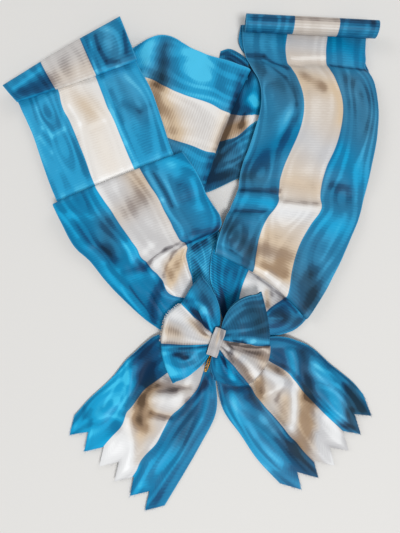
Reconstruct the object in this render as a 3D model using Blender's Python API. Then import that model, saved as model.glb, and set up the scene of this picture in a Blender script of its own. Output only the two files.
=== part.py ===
# A satin order sash, folded flat on a table: two limbs of one wide ribbon, a band behind them,
# a bow with a white wrap, and two tails cut in points.
#
# Objects are in metres with +Z up. The sizes and tables below are in millimetres. The origin is
# on the table, under the middle of the sash. Each stretch of ribbon that shows is one closed wall.

from collections import namedtuple
import math

import bmesh
import bpy
from mathutils import Vector
from mathutils.bvhtree import BVHTree
import numpy as np

MM = 0.001
UP = np.array([0.0, 0.0, 1.0])

# Driving sizes of the ribbon
RIBBON_WIDTH = 100.0
WALL = 1.0
GAP = 0.3
LAY_CLEARANCE = 0.5
TOOTH_COUNT = 6
TOOTH_DEPTH = 13.0
TOOTH_ROOT_SHARE = 0.2

# A fold at the end of a stretch: the radius inside it, and how far the ribbon runs back below
FOLD_RADIUS = 1.5
TURN_CELLS = 5
TURN_ROWS = TURN_CELLS + 2

# How finely a stretch is divided, and how far round a point the layers below it are felt
ALONG_STEP = 7.0
ACROSS_CELLS = 12
FEEL = 2.0
ROWS_NEAR_TURN = 3
RAY_HEIGHT = 500.0

# A section crosses the ribbon from its left edge to its right edge. The heights are those of its
# underside. Rise is how far its middle stands above the line between the edges, and bow is how
# far its middle runs ahead of that line, along the stretch.
Section = namedtuple("Section", "left_x left_y left_z right_x right_y right_z rise bow", defaults=(0,))

# A fold is a soft ridge, or a trough where its height is negative. Its line runs between two
# places given along and across the stretch.
Fold = namedtuple("Fold", "along0 across0 along1 across1 width height")

# A roll is given at each end by the lines of its back and front, its middle's height and half
# its thickness.
RollEnd = namedtuple("RollEnd", "back_x back_y front_x front_y middle_z half_height")

# A ray is a line of a bow loop, from the wrap to the loop's far end. Across tells where it runs
# on the ribbon, lift arches it, and sweep bends it sideways.
Ray = namedtuple("Ray", "across end_x end_y end_z lift sweep")

LEFT_HIDDEN = [
    Section(-122, 122, 0, -46, 150, 0, 0),
    Section(-112, 100, 0, -36, 128, 0, 0),
    Section(-103, 75, 0, -28, 105, 0, 0),
    Section(-96, 52, 0, -20, 82, 0, 0),
    Section(-89, 34, 0, -8, 62, 0, 0),
    Section(-74, 14, 0, 4, 40, 0, 0),
]
RIGHT_HIDDEN = [
    Section(37, 186, 0, 131, 181, 0, 0),
    Section(38, 166, 0, 133, 161, 0, 0),
    Section(76, 150, 0, 137, 146, 0, 0),
    Section(74, 125, 0, 135, 122, 0, 0),
    Section(68, 96, 0, 132, 95, 0, 0),
    Section(56, 70, 0, 124, 58, 0, 0),
    Section(46, 44, 0, 112, 26, 0, 0),
    Section(40, 28, 0, 98, 0, 0, 0),
]
HIDDEN_LAYERS = 3
HIDDEN_ROWS = 15
LAYER_ROUNDING = 0.5
LAYER_GROOVE = 1.0
LAYER_GAP = 0.1

UNDER_BAND = [
    Section(11, 157, 0, -1, 58, 0, 0),
    Section(38, 155, 0, 13, 59, 0, 0),
    Section(54, 156, 0, 38, 70, 0, 2),
    Section(66, 158, 0, 60, 76, 0, 0),
]
BACK_CORNER = [
    Section(23, 167, 0, 20, 150, 0, 0),
    Section(30, 168, 0, 30, 148, 0, 1),
    Section(44, 159, 0, 43, 143, 0, 0),
]

BACK_BAND = [
    Section(-47, 165, 4, -81, 90, 4, 0),
    Section(-25, 177, 5, -64, 86, 5, 2),
    Section(3, 165, 6, -35, 72, 6, 3),
    Section(33, 153, 7, -1, 59, 7, 2),
    Section(45, 149, 6, 12, 61, 6, 0),
]
BACK_BAND_FOLDS = [
    Fold(22, 4, 34, 90, 8, -1.6),
    Fold(70, 8, 78, 60, 9, -1.2),
]
BACK_BAND_RETURN = 12

LEFT_UPPER = [
    Section(-135, 134, 1, -45, 168, 6, 0),
    Section(-130, 124, 3, -40, 154, 8, 2),
    Section(-119, 100, 4, -29, 132, 10, 4),
    Section(-110, 75, 4, -21, 109, 10, 5),
    Section(-101, 52, 4, -13, 86, 9, 3),
    Section(-95, 40, 4, -7, 74, 8, 1),
]
LEFT_UPPER_FOLDS = [
    Fold(12, 4, 30, 30, 9, -1.2),
    Fold(14, 62, 40, 74, 8, -1.4),
    Fold(46, 34, 84, 44, 9, 1.4),
    Fold(30, 90, 74, 80, 9, 1.2),
    Fold(52, 10, 76, 22, 8, -1.2),
]

# The left limb's lower stretch runs up from the bow to the fold that lies on the upper one.
LEFT_LOWER = [
    Section(-21, -48, 1, 7, -37, 2, 1),
    Section(-35, -38, 1, 3, -23, 3, 3),
    Section(-51, -23, 2, 2, -9, 5, 4),
    Section(-65, -8, 3, 0, 17, 8, 5),
    Section(-76, 6, 4, 22, 31, 10, 6),
    Section(-88, 18, 5, 12, 54, 12, 6),
    Section(-97, 36, 7, 4, 71, 13, 4),
    Section(-103, 49, 8, -6, 86, 13, 2),
]
LEFT_LOWER_FOLDS = [
    Fold(13, 50, 37, 22, 8, 1.5),
    Fold(41, 62, 53, 34, 7, -1.6),
    Fold(47, 22, 85, 8, 9, 1.8),
    Fold(79, 50, 107, 30, 10, -1.8),
]
LEFT_LOWER_RETURN = 10

LEFT_TUCK = [
    Section(-23, 11, 1, 19, 41, 3, 0),
    Section(-10, -1, 1, 23, 22, 2, 0),
    Section(1, -20, 0.5, 24, 5, 1, 0),
    Section(9, -37, 0.5, 21, -24, 1, 0),
]

RIGHT_LOWER = [
    Section(18, 21, 2, 94, -22, 2, 0),
    Section(15, 5, 2, 88, -38, 2, 1),
    Section(16, -12, 2, 75, -48, 2, 3),
    Section(21, -25, 2, 62, -51, 2, 2),
    Section(25, -40, 2, 48, -54, 2, 1),
]

RIGHT_UPPER = [
    Section(39, 185, 3.6, 133, 180, 3.6, 0),
    Section(40, 168, 4, 132, 162, 4, 2),
    Section(44, 155, 5, 133, 151, 5, 4),
    Section(51, 142, 7, 137, 140, 7, 7),
    Section(53, 123, 8, 140, 120, 8, 9),
    Section(47, 100, 8, 139, 99, 8, 9),
    Section(39, 78, 7, 135, 76, 7, 8),
    Section(35, 58, 6, 129, 47, 6, 5),
    Section(27, 40, 6, 120, 23, 6, 6, -1),
    Section(20, 22, 6, 103, -13, 6, 4, -4),
    Section(18, 11, 6, 87, -38, 6, 1, -6),
]
RIGHT_UPPER_FOLDS = [
    Fold(19, 0, 27, 100, 7, -2.0),
    Fold(115, 0, 123, 48, 7, -2.4),
    Fold(125, 50, 127, 100, 8, -2.0),
    Fold(133, 6, 145, 40, 7, 1.6),
    Fold(65, 18, 101, 24, 12, 1.4),
    Fold(55, 80, 97, 78, 12, 1.4),
]
RIGHT_UPPER_RETURN = 14

LEFT_TAIL = [
    Section(3, -51, 3, 13, -64, 3, 0),
    Section(-19, -49, 2, 17, -72, 3, 2),
    Section(-43, -64, 1, 19, -86, 2, 4),
    Section(-61, -84, 0, 19, -110, 1, 5),
    Section(-76, -98, 0, 7, -135, 0, 5),
    Section(-89, -112, 0, -20, -181, 0, 2),
]
LEFT_TAIL_FOLDS = [
    Fold(20, 30, 78, 22, 7, -2.2),
    Fold(24, 60, 70, 52, 8, 2.2),
    Fold(30, 84, 90, 80, 8, -1.8),
    Fold(84, 14, 112, 20, 8, 1.8),
]
RIGHT_TAIL = [
    Section(19, -73, 3, 36, -57, 3, 0),
    Section(20, -86, 3, 62, -51, 3, 2),
    Section(24, -105, 1, 85, -56, 2, 4),
    Section(39, -128, 0, 109, -75, 1, 5),
    Section(52, -147, 0, 124, -87, 0, 5, 2),
    Section(68, -164, 0, 132, -96, 0, 2, 7),
]
RIGHT_TAIL_FOLDS = [
    Fold(18, 40, 84, 46, 7, 2.2),
    Fold(20, 64, 80, 72, 7, -2.2),
    Fold(30, 20, 90, 16, 8, -1.8),
    Fold(60, 88, 104, 84, 8, 1.8),
]

LEFT_ROLL = [
    RollEnd(-141, 138, -130, 125, 7, 4.2),
    RollEnd(-97, 163, -85, 138, 10, 4.2),
    RollEnd(-52, 186, -39, 153, 13, 4.4),
]
RIGHT_ROLL = [
    RollEnd(41, 188.4, 40.3, 175.8, 12.5, 6.3),
    RollEnd(90, 185.9, 89.3, 173.3, 12.5, 6.3),
    RollEnd(138, 183.4, 137.3, 170.8, 12.5, 6.3),
]
LEFT_ROLL_TURNS = 1.9
RIGHT_ROLL_TURNS = 2.2
ROLL_PITCH = 1.45
ROLL_CELLS_A_TURN = 16
ROLL_CELLS_ACROSS = 4

# The wrap lies across the bow, from the upper end of its middle line to the lower end.
WRAP_UPPER = np.array([22.0, -43.5])
WRAP_LOWER = np.array([15.5, -62.5])
WRAP_WIDTH = 8.0
WRAP_TOP = 15.0
WRAP_DROP = 3.0
WRAP_CELLS_ALONG = 10
WRAP_CELLS_ACROSS = 4

LEFT_RAYS = [
    Ray(0, 7, -4, 15, 5, 6),
    Ray(16, 0, -13, 15, 7, 3),
    Ray(33, -7, -25, 14, 2, 0),
    Ray(50, -18, -35, 13, 5, 0),
    Ray(66, -22, -54, 12, 4, 0),
    Ray(83, -20, -68, 12, 6, -2),
    Ray(100, -14, -83, 11, 2, -4),
]
RIGHT_RAYS = [
    Ray(0, 54, -18, 15, 4, -9),
    Ray(16, 57, -35, 15, 8, -3),
    Ray(33, 59, -54, 14, 6, 0),
    Ray(50, 57, -69, 12, 2, 0),
    Ray(66, 44, -84, 13, 5, 0),
    Ray(83, 31, -86, 12, 5, 1),
    Ray(100, 19, -82, 11, 2, 3),
]
LOOP_START_Z = 12.0
LOOP_GATHER = 15.0
LOOP_INSIDE_WRAP = 3.0
LOOP_FOLD_RADIUS = 2.6
LOOP_RETURN_SHARE = 0.62
LOOP_CELLS = 12
LOOP_RETURN_CELLS = 4

# The gilt hook is a long wire ring that comes out under the wrap's lower end.
HOOK_TOP = np.array([15.4, -63.4, 11.9])
HOOK_END = np.array([10.8, -75.4, 12.4])
HOOK_WIRE = 1.3
HOOK_SPREAD = 2.4
HOOK_CELLS = 24
HOOK_SQUARENESS = 0.6

AZURE = (0.03, 0.30, 0.62, 1.0)
WHITE = (0.78, 0.76, 0.72, 1.0)
GILT = (0.80, 0.52, 0.16, 1.0)


def clear_scene():
    for item in list(bpy.data.objects):
        bpy.data.objects.remove(item, do_unlink=True)


def make_material(name, colour, roughness, metallic):
    material = bpy.data.materials.new(name)
    material.use_nodes = True
    shader = material.node_tree.nodes["Principled BSDF"]
    shader.inputs["Base Color"].default_value = colour
    shader.inputs["Roughness"].default_value = roughness
    shader.inputs["Metallic"].default_value = metallic
    material.diffuse_color = colour
    return material


def curve_through(places, values, at):
    """Reads a smooth curve through the rows of a table at the given places."""
    slopes = np.gradient(values, places, axis=0)
    index = np.clip(np.searchsorted(places, at, side="right") - 1, 0, len(places) - 2)
    span = (places[index + 1] - places[index])[:, None]
    part = (at - places[index])[:, None] / span
    from_first = 2 * part**3 - 3 * part**2 + 1
    along_first = part**3 - 2 * part**2 + part
    along_second = part**3 - part**2
    return (
        from_first * values[index]
        + along_first * span * slopes[index]
        + (1 - from_first) * values[index + 1]
        + along_second * span * slopes[index + 1]
    )


def middle_places(table):
    """How far along the ribbon's middle line each section of a table lies."""
    middle = (table[:, 0:2] + table[:, 3:5]) / 2
    return np.concatenate([[0], np.cumsum(np.linalg.norm(np.diff(middle, axis=0), axis=1))])


def fold_height(folds, along, across):
    """The height that the folds add at places given along and across a stretch."""
    height = np.zeros_like(along)
    for fold in folds:
        start = np.array([fold.along0, fold.across0], float)
        line = np.array([fold.along1, fold.across1], float) - start
        part = ((along - start[0]) * line[0] + (across - start[1]) * line[1]) / (line @ line)
        part = np.clip(part, 0, 1)
        away = np.hypot(along - start[0] - part * line[0], across - start[1] - part * line[1])
        height = height + fold.height * np.exp(-((away / fold.width) ** 2))
    return height


def ahead_of(left, right, onward):
    """Level directions square to the lines from left to right, pointing onward."""
    line = (right - left)[:, :2]
    line = line / np.linalg.norm(line, axis=1)[:, None]
    square = np.stack([line[:, 1], -line[:, 0]], axis=1)
    return square * np.sign(np.sum(square * onward, axis=1))[:, None]


def stretch_grid(sections, folds=(), tooth_depth=0.0):
    """Underside points of a stretch: rows along it, columns across it."""
    table = np.array(sections, float)
    places = middle_places(table)
    length = places[-1]
    rows = max(3, round(length / ALONG_STEP)) + 1
    at = np.linspace(0, length, rows)
    read = curve_through(places, table, at)
    left, right, rise, bow = read[:, 0:3], read[:, 3:6], read[:, 6], read[:, 7]
    onward = np.gradient((left + right)[:, :2], axis=0)
    ahead = ahead_of(left, right, onward)
    near_end = np.clip((at / length - 1 + TOOTH_ROOT_SHARE) / TOOTH_ROOT_SHARE, 0, 1)
    grid = np.zeros((rows, ACROSS_CELLS + 1, 3))
    for column, share in enumerate(np.linspace(0, 1, ACROSS_CELLS + 1)):
        hump = 4 * share * (1 - share)
        tooth = tooth_depth * (1 - abs(2 * ((share * TOOTH_COUNT) % 1) - 1))
        line = left + (right - left) * share
        line[:, :2] += ahead * (bow * hump + near_end * tooth)[:, None]
        line[:, 2] += rise * hump + fold_height(folds, at, np.full(rows, share * RIBBON_WIDTH))
        line[:, 2] = np.maximum(line[:, 2], 0)
        grid[:, column] = line
    return grid


def turned_under(grid, back, radius=FOLD_RADIUS):
    """Adds a rounded fold at the end of a grid, and a short stretch that runs back below it."""
    ahead = grid[-1] - grid[-2]
    ahead[:, 2] = 0
    ahead /= np.linalg.norm(ahead, axis=1)[:, None]
    crest = grid[-1] - ahead * (radius + WALL)
    crest[:, 2] = (grid[-1, :, 2] + grid[-2, :, 2]) / 2
    keep = len(grid) - 1
    while np.min(np.sum((crest - grid[keep - 1]) * ahead, axis=1)) < radius:
        keep -= 1
    turn = []
    for angle in np.linspace(0, math.pi, TURN_CELLS + 1)[1:]:
        turn.append(crest + ahead * radius * math.sin(angle) - UP * radius * (1 - math.cos(angle)))
    low = turn[-1]
    turn.append(low - ahead * back / 2)
    turn.append(low - ahead * back)
    return np.concatenate([grid[:keep], [crest], turn])


def spread(field, times):
    """Widens and softens a field of heights, and lowers none of them."""
    for _ in range(times):
        padded = np.pad(field, 1, mode="edge")
        rows, columns = field.shape
        around = [padded[i : i + rows, j : j + columns] for i in range(3) for j in range(3)]
        field = np.maximum(field, (np.max(around, axis=0) + np.mean(around, axis=0)) / 2)
    return field


def top_below(trees, x, y):
    """The highest point, over one place on the table, of the pieces laid so far."""
    high = 0.0
    for tree in trees:
        place = tree.ray_cast(Vector((x, y, RAY_HEIGHT)), Vector((0, 0, -1)))[0]
        if place is not None:
            high = max(high, place.z)
    return high


def laid_over(grid, trees, turned):
    """Lifts a grid wherever it would meet the pieces laid before it.

    Its last rows, as many as turned says, lie below the others, and keep their shape."""
    rows, columns = grid.shape[:2]
    spots = [(x * FEEL, y * FEEL) for x in (-1, 0, 1) for y in (-1, 0, 1)]
    need = np.zeros((rows, columns))
    for i in range(rows):
        for j in range(columns):
            x, y, z = grid[i, j]
            low = z - WALL if i >= rows - turned else z
            high = max(top_below(trees, x + dx, y + dy) for dx, dy in spots)
            if high > 0:
                need[i, j] = max(0.0, high + LAY_CLEARANCE - low)
    if turned:
        first = rows - turned
        near = slice(first - ROWS_NEAR_TURN, rows)
        need[near] = np.maximum(need[near], need[first:].max(axis=0))
    lift = spread(need, 2)
    if turned:
        lift[first:] = lift[first:].max(axis=0)
    lifted = grid.copy()
    lifted[:, :, 2] += lift
    return lifted


def seated(low, high, trees):
    """Moves a wall straight up or down until its low side rests on the pieces laid before it."""
    between = (low[:, 1:] + low[:, :-1]) / 2
    samples = np.concatenate([low, between], axis=1).reshape(-1, 3)
    clear = min(z - top_below(trees, x, y) for x, y, z in samples)
    return low - UP * (clear - GAP), high - UP * (clear - GAP)


def normals_of(grid):
    """Directions square to a grid, which point up over its first row."""
    normal = np.cross(np.gradient(grid, axis=0), np.gradient(grid, axis=1))
    normal /= np.linalg.norm(normal, axis=2)[:, :, None]
    return normal if normal[0, :, 2].mean() > 0 else -normal


def wall_faces(rows, columns):
    """Faces of a closed wall between two grids, the second one numbered after the first."""
    count = rows * columns
    faces = []
    for i in range(rows - 1):
        for j in range(columns - 1):
            corner = i * columns + j
            square = [corner, corner + 1, corner + columns + 1, corner + columns]
            faces.append(square)
            faces.append([count + index for index in reversed(square)])
    border = list(range(columns))
    border += [i * columns + columns - 1 for i in range(1, rows)]
    border += [(rows - 1) * columns + j for j in range(columns - 2, -1, -1)]
    border += [i * columns for i in range(rows - 2, 0, -1)]
    for here, there in zip(border, border[1:] + border[:1]):
        faces.append([there, here, count + here, count + there])
    return faces


def add_mesh(name, points, faces, material, collection):
    mesh = bpy.data.meshes.new(name)
    mesh.from_pydata([tuple(point * MM) for point in points], [], faces)
    shape = bmesh.new()
    shape.from_mesh(mesh)
    bmesh.ops.recalc_face_normals(shape, faces=shape.faces)
    shape.to_mesh(mesh)
    shape.free()
    mesh.shade_smooth()
    mesh.set_sharp_from_angle(angle=math.radians(40))
    mesh.materials.append(material)
    item = bpy.data.objects.new(name, mesh)
    collection.objects.link(item)
    return item


def add_wall(name, inner, outer, material, collection):
    points = np.concatenate([inner.reshape(-1, 3), outer.reshape(-1, 3)])
    return add_mesh(name, points, wall_faces(*inner.shape[:2]), material, collection)


def tree_of(item):
    points = [vertex.co / MM for vertex in item.data.vertices]
    return BVHTree.FromPolygons(points, [list(face.vertices) for face in item.data.polygons])


def rolled_grids(ends, turns):
    """Inner and outer points of a ribbon rolled up, from its outer end to its core."""
    table = np.array(ends, float)
    places = np.arange(len(ends), dtype=float)
    read = curve_through(places, table, np.linspace(0, places[-1], ROLL_CELLS_ACROSS + 1))
    steps = round(turns * ROLL_CELLS_A_TURN)
    inner = np.zeros((steps + 1, ROLL_CELLS_ACROSS + 1, 3))
    outer = np.zeros_like(inner)
    for j, row in enumerate(read):
        back, front, middle_z, half_height = row[0:2], row[2:4], row[4], row[5]
        half = np.linalg.norm(front - back) / 2
        forward = (front - back) / (2 * half)
        for i in range(steps + 1):
            angle = 2 * math.pi * i / ROLL_CELLS_A_TURN
            shrink = ROLL_PITCH * i / ROLL_CELLS_A_TURN
            for grid, inset in ((outer, shrink), (inner, shrink + WALL)):
                grid[i, j, :2] = (back + front) / 2 - forward * (half - inset) * math.sin(angle)
                grid[i, j, 2] = middle_z - (half_height - inset) * math.cos(angle)
    return inner, outer


def add_hidden_layers(name, sections, material, collection):
    """Hidden layers as one solid: flat below and above, with a rounded edge for each layer."""
    table = np.array(sections, float)
    places = middle_places(table)
    read = curve_through(places, table, np.linspace(0, places[-1], HIDDEN_ROWS))
    ring = np.concatenate([read[:, 0:2], read[::-1, 3:5]])
    for _ in range(3):
        ring = (np.roll(ring, 1, axis=0) + 2 * ring + np.roll(ring, -1, axis=0)) / 4
    step = np.roll(ring, -1, axis=0) - np.roll(ring, 1, axis=0)
    inward = np.stack([-step[:, 1], step[:, 0]], axis=1)
    inward /= np.linalg.norm(inward, axis=1)[:, None]
    levels = []
    for layer in range(HIDDEN_LAYERS):
        base = layer * (WALL + LAYER_GAP)
        levels += [(base, LAYER_ROUNDING), (base + WALL / 2, 0), (base + WALL, LAYER_ROUNDING)]
        levels.append((base + WALL + LAYER_GAP / 2, LAYER_GROOVE))
    levels.pop()
    points = []
    for height, inset in levels:
        points += [np.array([*place, height]) for place in ring + inward * inset]
    count = len(ring)
    top = (len(levels) - 1) * count
    faces = [list(range(count)), list(range(top, top + count))]
    for base in range(0, top, count):
        for k in range(count):
            after = (k + 1) % count
            faces.append([base + k, base + after, base + count + after, base + count + k])
    return add_mesh(name, points, faces, material, collection)


def loop_grid(rays, side):
    """Inner points of a bow loop: out from the wrap, round, and back below."""
    down = (WRAP_LOWER - WRAP_UPPER) / np.linalg.norm(WRAP_LOWER - WRAP_UPPER)
    out = np.array([-down[1], down[0]]) * side
    root = (WRAP_UPPER + WRAP_LOWER) / 2 + out * (WRAP_WIDTH / 2 - LOOP_INSIDE_WRAP)
    table = np.array(rays, float)
    read = curve_through(table[:, 0], table, np.linspace(0, RIBBON_WIDTH, ACROSS_CELLS + 1))
    columns = []
    for across, end_x, end_y, end_z, lift, sweep in read:
        start = root + down * LOOP_GATHER * (across / RIBBON_WIDTH - 0.5)
        chord = np.array([end_x, end_y]) - start
        reach = np.linalg.norm(chord)
        ahead = chord / reach
        beside = np.array([ahead[1], -ahead[0]])
        crest = 1 - (LOOP_FOLD_RADIUS + WALL) / reach

        def level_place(share):
            return start + chord * share + beside * sweep * 4 * share * (1 - share)

        line = []
        for part in np.linspace(0, 1, LOOP_CELLS + 1):
            height = LOOP_START_Z + (end_z - LOOP_START_Z) * part + lift * math.sin(math.pi * part) ** 1.5
            line.append([*level_place(part * crest), height])
        tip = np.array(line[-1])
        forward = np.array([*ahead, 0])
        for angle in np.linspace(0, math.pi, TURN_CELLS + 1)[1:]:
            drop = LOOP_FOLD_RADIUS * (1 - math.cos(angle))
            line.append(tip + forward * LOOP_FOLD_RADIUS * math.sin(angle) - UP * drop)
        low_z = line[-1][2]
        for part in np.linspace(0, 1, LOOP_RETURN_CELLS + 1)[1:]:
            line.append([*level_place(crest * (1 - part * LOOP_RETURN_SHARE)), low_z])
        columns.append(line)
    return np.array(columns, float).transpose(1, 0, 2)


def wrap_grid():
    """Underside points of the wrap, which arches over the middle of the bow."""
    down = (WRAP_LOWER - WRAP_UPPER) / np.linalg.norm(WRAP_LOWER - WRAP_UPPER)
    beside = np.array([-down[1], down[0]]) * WRAP_WIDTH
    rows = []
    for part in np.linspace(0, 1, WRAP_CELLS_ALONG + 1):
        middle = WRAP_UPPER + (WRAP_LOWER - WRAP_UPPER) * part
        height = WRAP_TOP - WRAP_DROP * (2 * part - 1) ** 4
        shares = np.linspace(-0.5, 0.5, WRAP_CELLS_ACROSS + 1)
        rows.append([[*(middle + beside * share), height] for share in shares])
    return np.array(rows)


def add_hook(material, collection):
    ahead = HOOK_END - HOOK_TOP
    beside = np.array([-ahead[1], ahead[0], 0])
    beside *= HOOK_SPREAD / 2 / np.linalg.norm(beside)
    path = bpy.data.curves.new("badge_hook", "CURVE")
    path.dimensions = "3D"
    path.bevel_depth = HOOK_WIRE / 2 * MM
    path.bevel_resolution = 2
    line = path.splines.new("POLY")
    line.points.add(HOOK_CELLS - 1)
    line.use_cyclic_u = True
    for step, spot in enumerate(line.points):
        angle = 2 * math.pi * step / HOOK_CELLS
        along = 1 - math.copysign(abs(math.cos(angle)) ** HOOK_SQUARENESS, math.cos(angle))
        place = HOOK_TOP + ahead * along / 2 + beside * math.sin(angle)
        spot.co = (*(place * MM), 1)
    path.materials.append(material)
    item = bpy.data.objects.new("badge_hook", path)
    collection.objects.link(item)


def build():
    clear_scene()
    collection = bpy.data.collections.new("satin_sash")
    bpy.context.scene.collection.children.link(collection)
    azure = make_material("azure_ribbon", AZURE, 0.45, 0.0)
    white = make_material("white_ribbon", WHITE, 0.45, 0.0)
    gilt = make_material("gilt_metal", GILT, 0.3, 1.0)
    trees = []

    def lay(name, grid, turned=0):
        inner = laid_over(grid, trees, turned)
        outer = inner + normals_of(inner) * WALL
        trees.append(tree_of(add_wall(name, inner, outer, azure, collection)))

    def lay_roll(name, ends, turns):
        inner, outer = rolled_grids(ends, turns)
        outer, inner = seated(outer, inner, trees)
        trees.append(tree_of(add_wall(name, inner, outer, azure, collection)))

    # From the table upwards, so that each piece lies on those before it
    trees.append(tree_of(add_hidden_layers("left_hidden_layers", LEFT_HIDDEN, azure, collection)))
    trees.append(tree_of(add_hidden_layers("right_hidden_layers", RIGHT_HIDDEN, azure, collection)))
    lay("under_band", stretch_grid(UNDER_BAND))
    lay("back_corner", stretch_grid(BACK_CORNER))
    lay("back_band", turned_under(stretch_grid(BACK_BAND, BACK_BAND_FOLDS), BACK_BAND_RETURN), TURN_ROWS)
    lay("left_upper_panel", stretch_grid(LEFT_UPPER, LEFT_UPPER_FOLDS))
    lay_roll("left_top_roll", LEFT_ROLL, LEFT_ROLL_TURNS)
    lay("left_lower_tuck", stretch_grid(LEFT_TUCK))
    left_lower = turned_under(stretch_grid(LEFT_LOWER, LEFT_LOWER_FOLDS), LEFT_LOWER_RETURN)
    lay("left_lower_panel", left_lower, TURN_ROWS)
    lay("right_lower_panel", stretch_grid(RIGHT_LOWER))
    right_upper = turned_under(stretch_grid(RIGHT_UPPER, RIGHT_UPPER_FOLDS), RIGHT_UPPER_RETURN)
    lay("right_upper_panel", right_upper, TURN_ROWS)
    lay_roll("right_top_roll", RIGHT_ROLL, RIGHT_ROLL_TURNS)
    lay("left_tail", stretch_grid(LEFT_TAIL, LEFT_TAIL_FOLDS, TOOTH_DEPTH))
    lay("right_tail", stretch_grid(RIGHT_TAIL, RIGHT_TAIL_FOLDS, TOOTH_DEPTH))
    lay("bow_left_loop", loop_grid(LEFT_RAYS, -1), TURN_CELLS + LOOP_RETURN_CELLS)
    lay("bow_right_loop", loop_grid(RIGHT_RAYS, 1), TURN_CELLS + LOOP_RETURN_CELLS)
    wrap = laid_over(wrap_grid(), trees, 0)
    wrap, wrap_top = seated(wrap, wrap + normals_of(wrap) * WALL, trees)
    add_wall("bow_wrap", wrap, wrap_top, white, collection)
    add_hook(gilt, collection)


build()
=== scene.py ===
import math

import bmesh
import bpy
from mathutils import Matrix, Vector, noise
from mathutils.bvhtree import BVHTree
import numpy as np


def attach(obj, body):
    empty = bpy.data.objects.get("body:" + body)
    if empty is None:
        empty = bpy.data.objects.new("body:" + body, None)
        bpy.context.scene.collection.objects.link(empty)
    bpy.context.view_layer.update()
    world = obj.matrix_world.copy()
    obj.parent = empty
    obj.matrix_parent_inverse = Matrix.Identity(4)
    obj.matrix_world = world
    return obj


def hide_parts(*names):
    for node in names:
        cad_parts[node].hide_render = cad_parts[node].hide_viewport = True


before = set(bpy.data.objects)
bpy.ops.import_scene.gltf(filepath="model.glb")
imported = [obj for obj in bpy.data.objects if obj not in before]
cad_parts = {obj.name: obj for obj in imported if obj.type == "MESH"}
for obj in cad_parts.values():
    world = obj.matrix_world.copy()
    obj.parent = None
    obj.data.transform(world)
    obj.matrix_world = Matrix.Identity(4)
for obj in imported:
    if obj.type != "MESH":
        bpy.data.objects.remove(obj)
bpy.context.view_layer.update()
print("frame loaded")

mm = 0.001
up = np.array([0.0, 0.0, 1.0])

# Sizes are in millimetres, unless a line says otherwise
ribbon = {
    "width": 100.0, "wall": 1.0, "cloth": 0.35, "gap": 0.3, "clearance": 0.5, "feel": 2.0,
    "foldRadius": 1.5, "turnCells": 5, "alongStep": 7.0, "acrossCells": 12, "rowsNearTurn": 3,
    "fineStep": 1.3, "finePerCell": 8, "fineClearance": 0.12, "rim": 2, "fineRim": 3,
    "rayHeight": 500.0, "sharpFrom": 50, "teeth": 6, "toothDepth": 13.0, "toothRootShare": 0.2,
}
weave = {"edges": [0, 33.3, 66.7, 100], "stripe": 33.34}  # selvedges, and the edges of the white stripe

# How far each kind of soft noise reaches, along and across, and how strong it is
unrest = {"reach": (30, 18), "height": 0.35, "seed": 30, "gathering": 0.6, "fadeOver": 6}
wrinkle = {"reach": (11, 8), "height": 0.4 * 0.35, "seed": 60}
cloudiness = {"reach": (40, 18), "strength": 0.2, "seed": 4}
waterNoise = {"reach": (60, 16), "strength": 1.1, "bulge": 1.3}
layerNoise = {"reach": (25, 20), "height": 0.12, "offset": 0.6}


def curveThrough(places, values, at):  # a smooth curve through the rows of values
    slopes = np.gradient(values, places, axis=0)
    index = np.clip(np.searchsorted(places, at, side="right") - 1, 0, len(places) - 2)
    span = (places[index + 1] - places[index])[:, None]
    part = (at - places[index])[:, None] / span
    first = 2 * part**3 - 3 * part**2 + 1
    return (first * values[index] + (1 - first) * values[index + 1]
            + (part**3 - 2 * part**2 + part) * span * slopes[index]
            + (part**3 - part**2) * span * slopes[index + 1])


def softStrokes(strokes, along, across):  # soft lines, each one through its places in turn
    height = np.zeros_like(along)
    for *line, width, lift in strokes:
        spots = list(zip(line[::2], line[1::2]))
        for (along0, across0), (along1, across1) in zip(spots, spots[1:]):
            lineA, lineB = along1 - along0, across1 - across0
            part = ((along - along0) * lineA + (across - across0) * lineB) / (lineA**2 + lineB**2)
            part = np.clip(part, 0, 1)
            away = np.hypot(along - along0 - part * lineA, across - across0 - part * lineB)
            height = height + lift * np.exp(-((away / width) ** 2))
    return height


def sectionTable(piece):  # its sections, and how far along the stretch each one lies
    table = np.array([[*row, 0][:8] for row in piece["sections"]], float)
    middle = (table[:, 0:2] + table[:, 3:5]) / 2
    steps = np.linalg.norm(np.diff(middle, axis=0), axis=1)
    return table, np.concatenate([[0], np.cumsum(steps)])


def stretchGrid(piece):  # underside points, and how far a tooth pushes each row
    table, places = sectionTable(piece)
    length = places[-1]
    rows = max(3, round(length / ribbon["alongStep"])) + 1
    at = np.linspace(0, length, rows)
    read = curveThrough(places, table, at)
    left, right, rise, bow = read[:, 0:3], read[:, 3:6], read[:, 6], read[:, 7]
    onward = np.gradient((left + right)[:, :2], axis=0)
    line = (right - left)[:, :2]
    line = line / np.linalg.norm(line, axis=1)[:, None]
    square = np.stack([line[:, 1], -line[:, 0]], axis=1)
    ahead = square * np.sign(np.sum(square * onward, axis=1))[:, None]
    root = ribbon["toothRootShare"]
    push = ahead * np.clip((at / length - 1 + root) / root, 0, 1)[:, None]
    cells = ribbon["acrossCells"]
    grid = np.zeros((rows, cells + 1, 3))
    for column, share in enumerate(np.linspace(0, 1, cells + 1)):
        hump = 4 * share * (1 - share)
        across = np.full(rows, share * ribbon["width"])
        edge = left + (right - left) * share
        edge[:, :2] += ahead * (bow * hump)[:, None]
        edge[:, 2] += rise * hump + softStrokes(piece.get("folds", []), at, across)
        edge[:, 2] = np.maximum(edge[:, 2], 0)
        grid[:, column] = edge
    return grid, push


def teethAt(shares):  # how far the cut edge stands out across the ribbon
    return ribbon["toothDepth"] * (1 - abs(2 * ((shares * ribbon["teeth"]) % 1) - 1))


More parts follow.
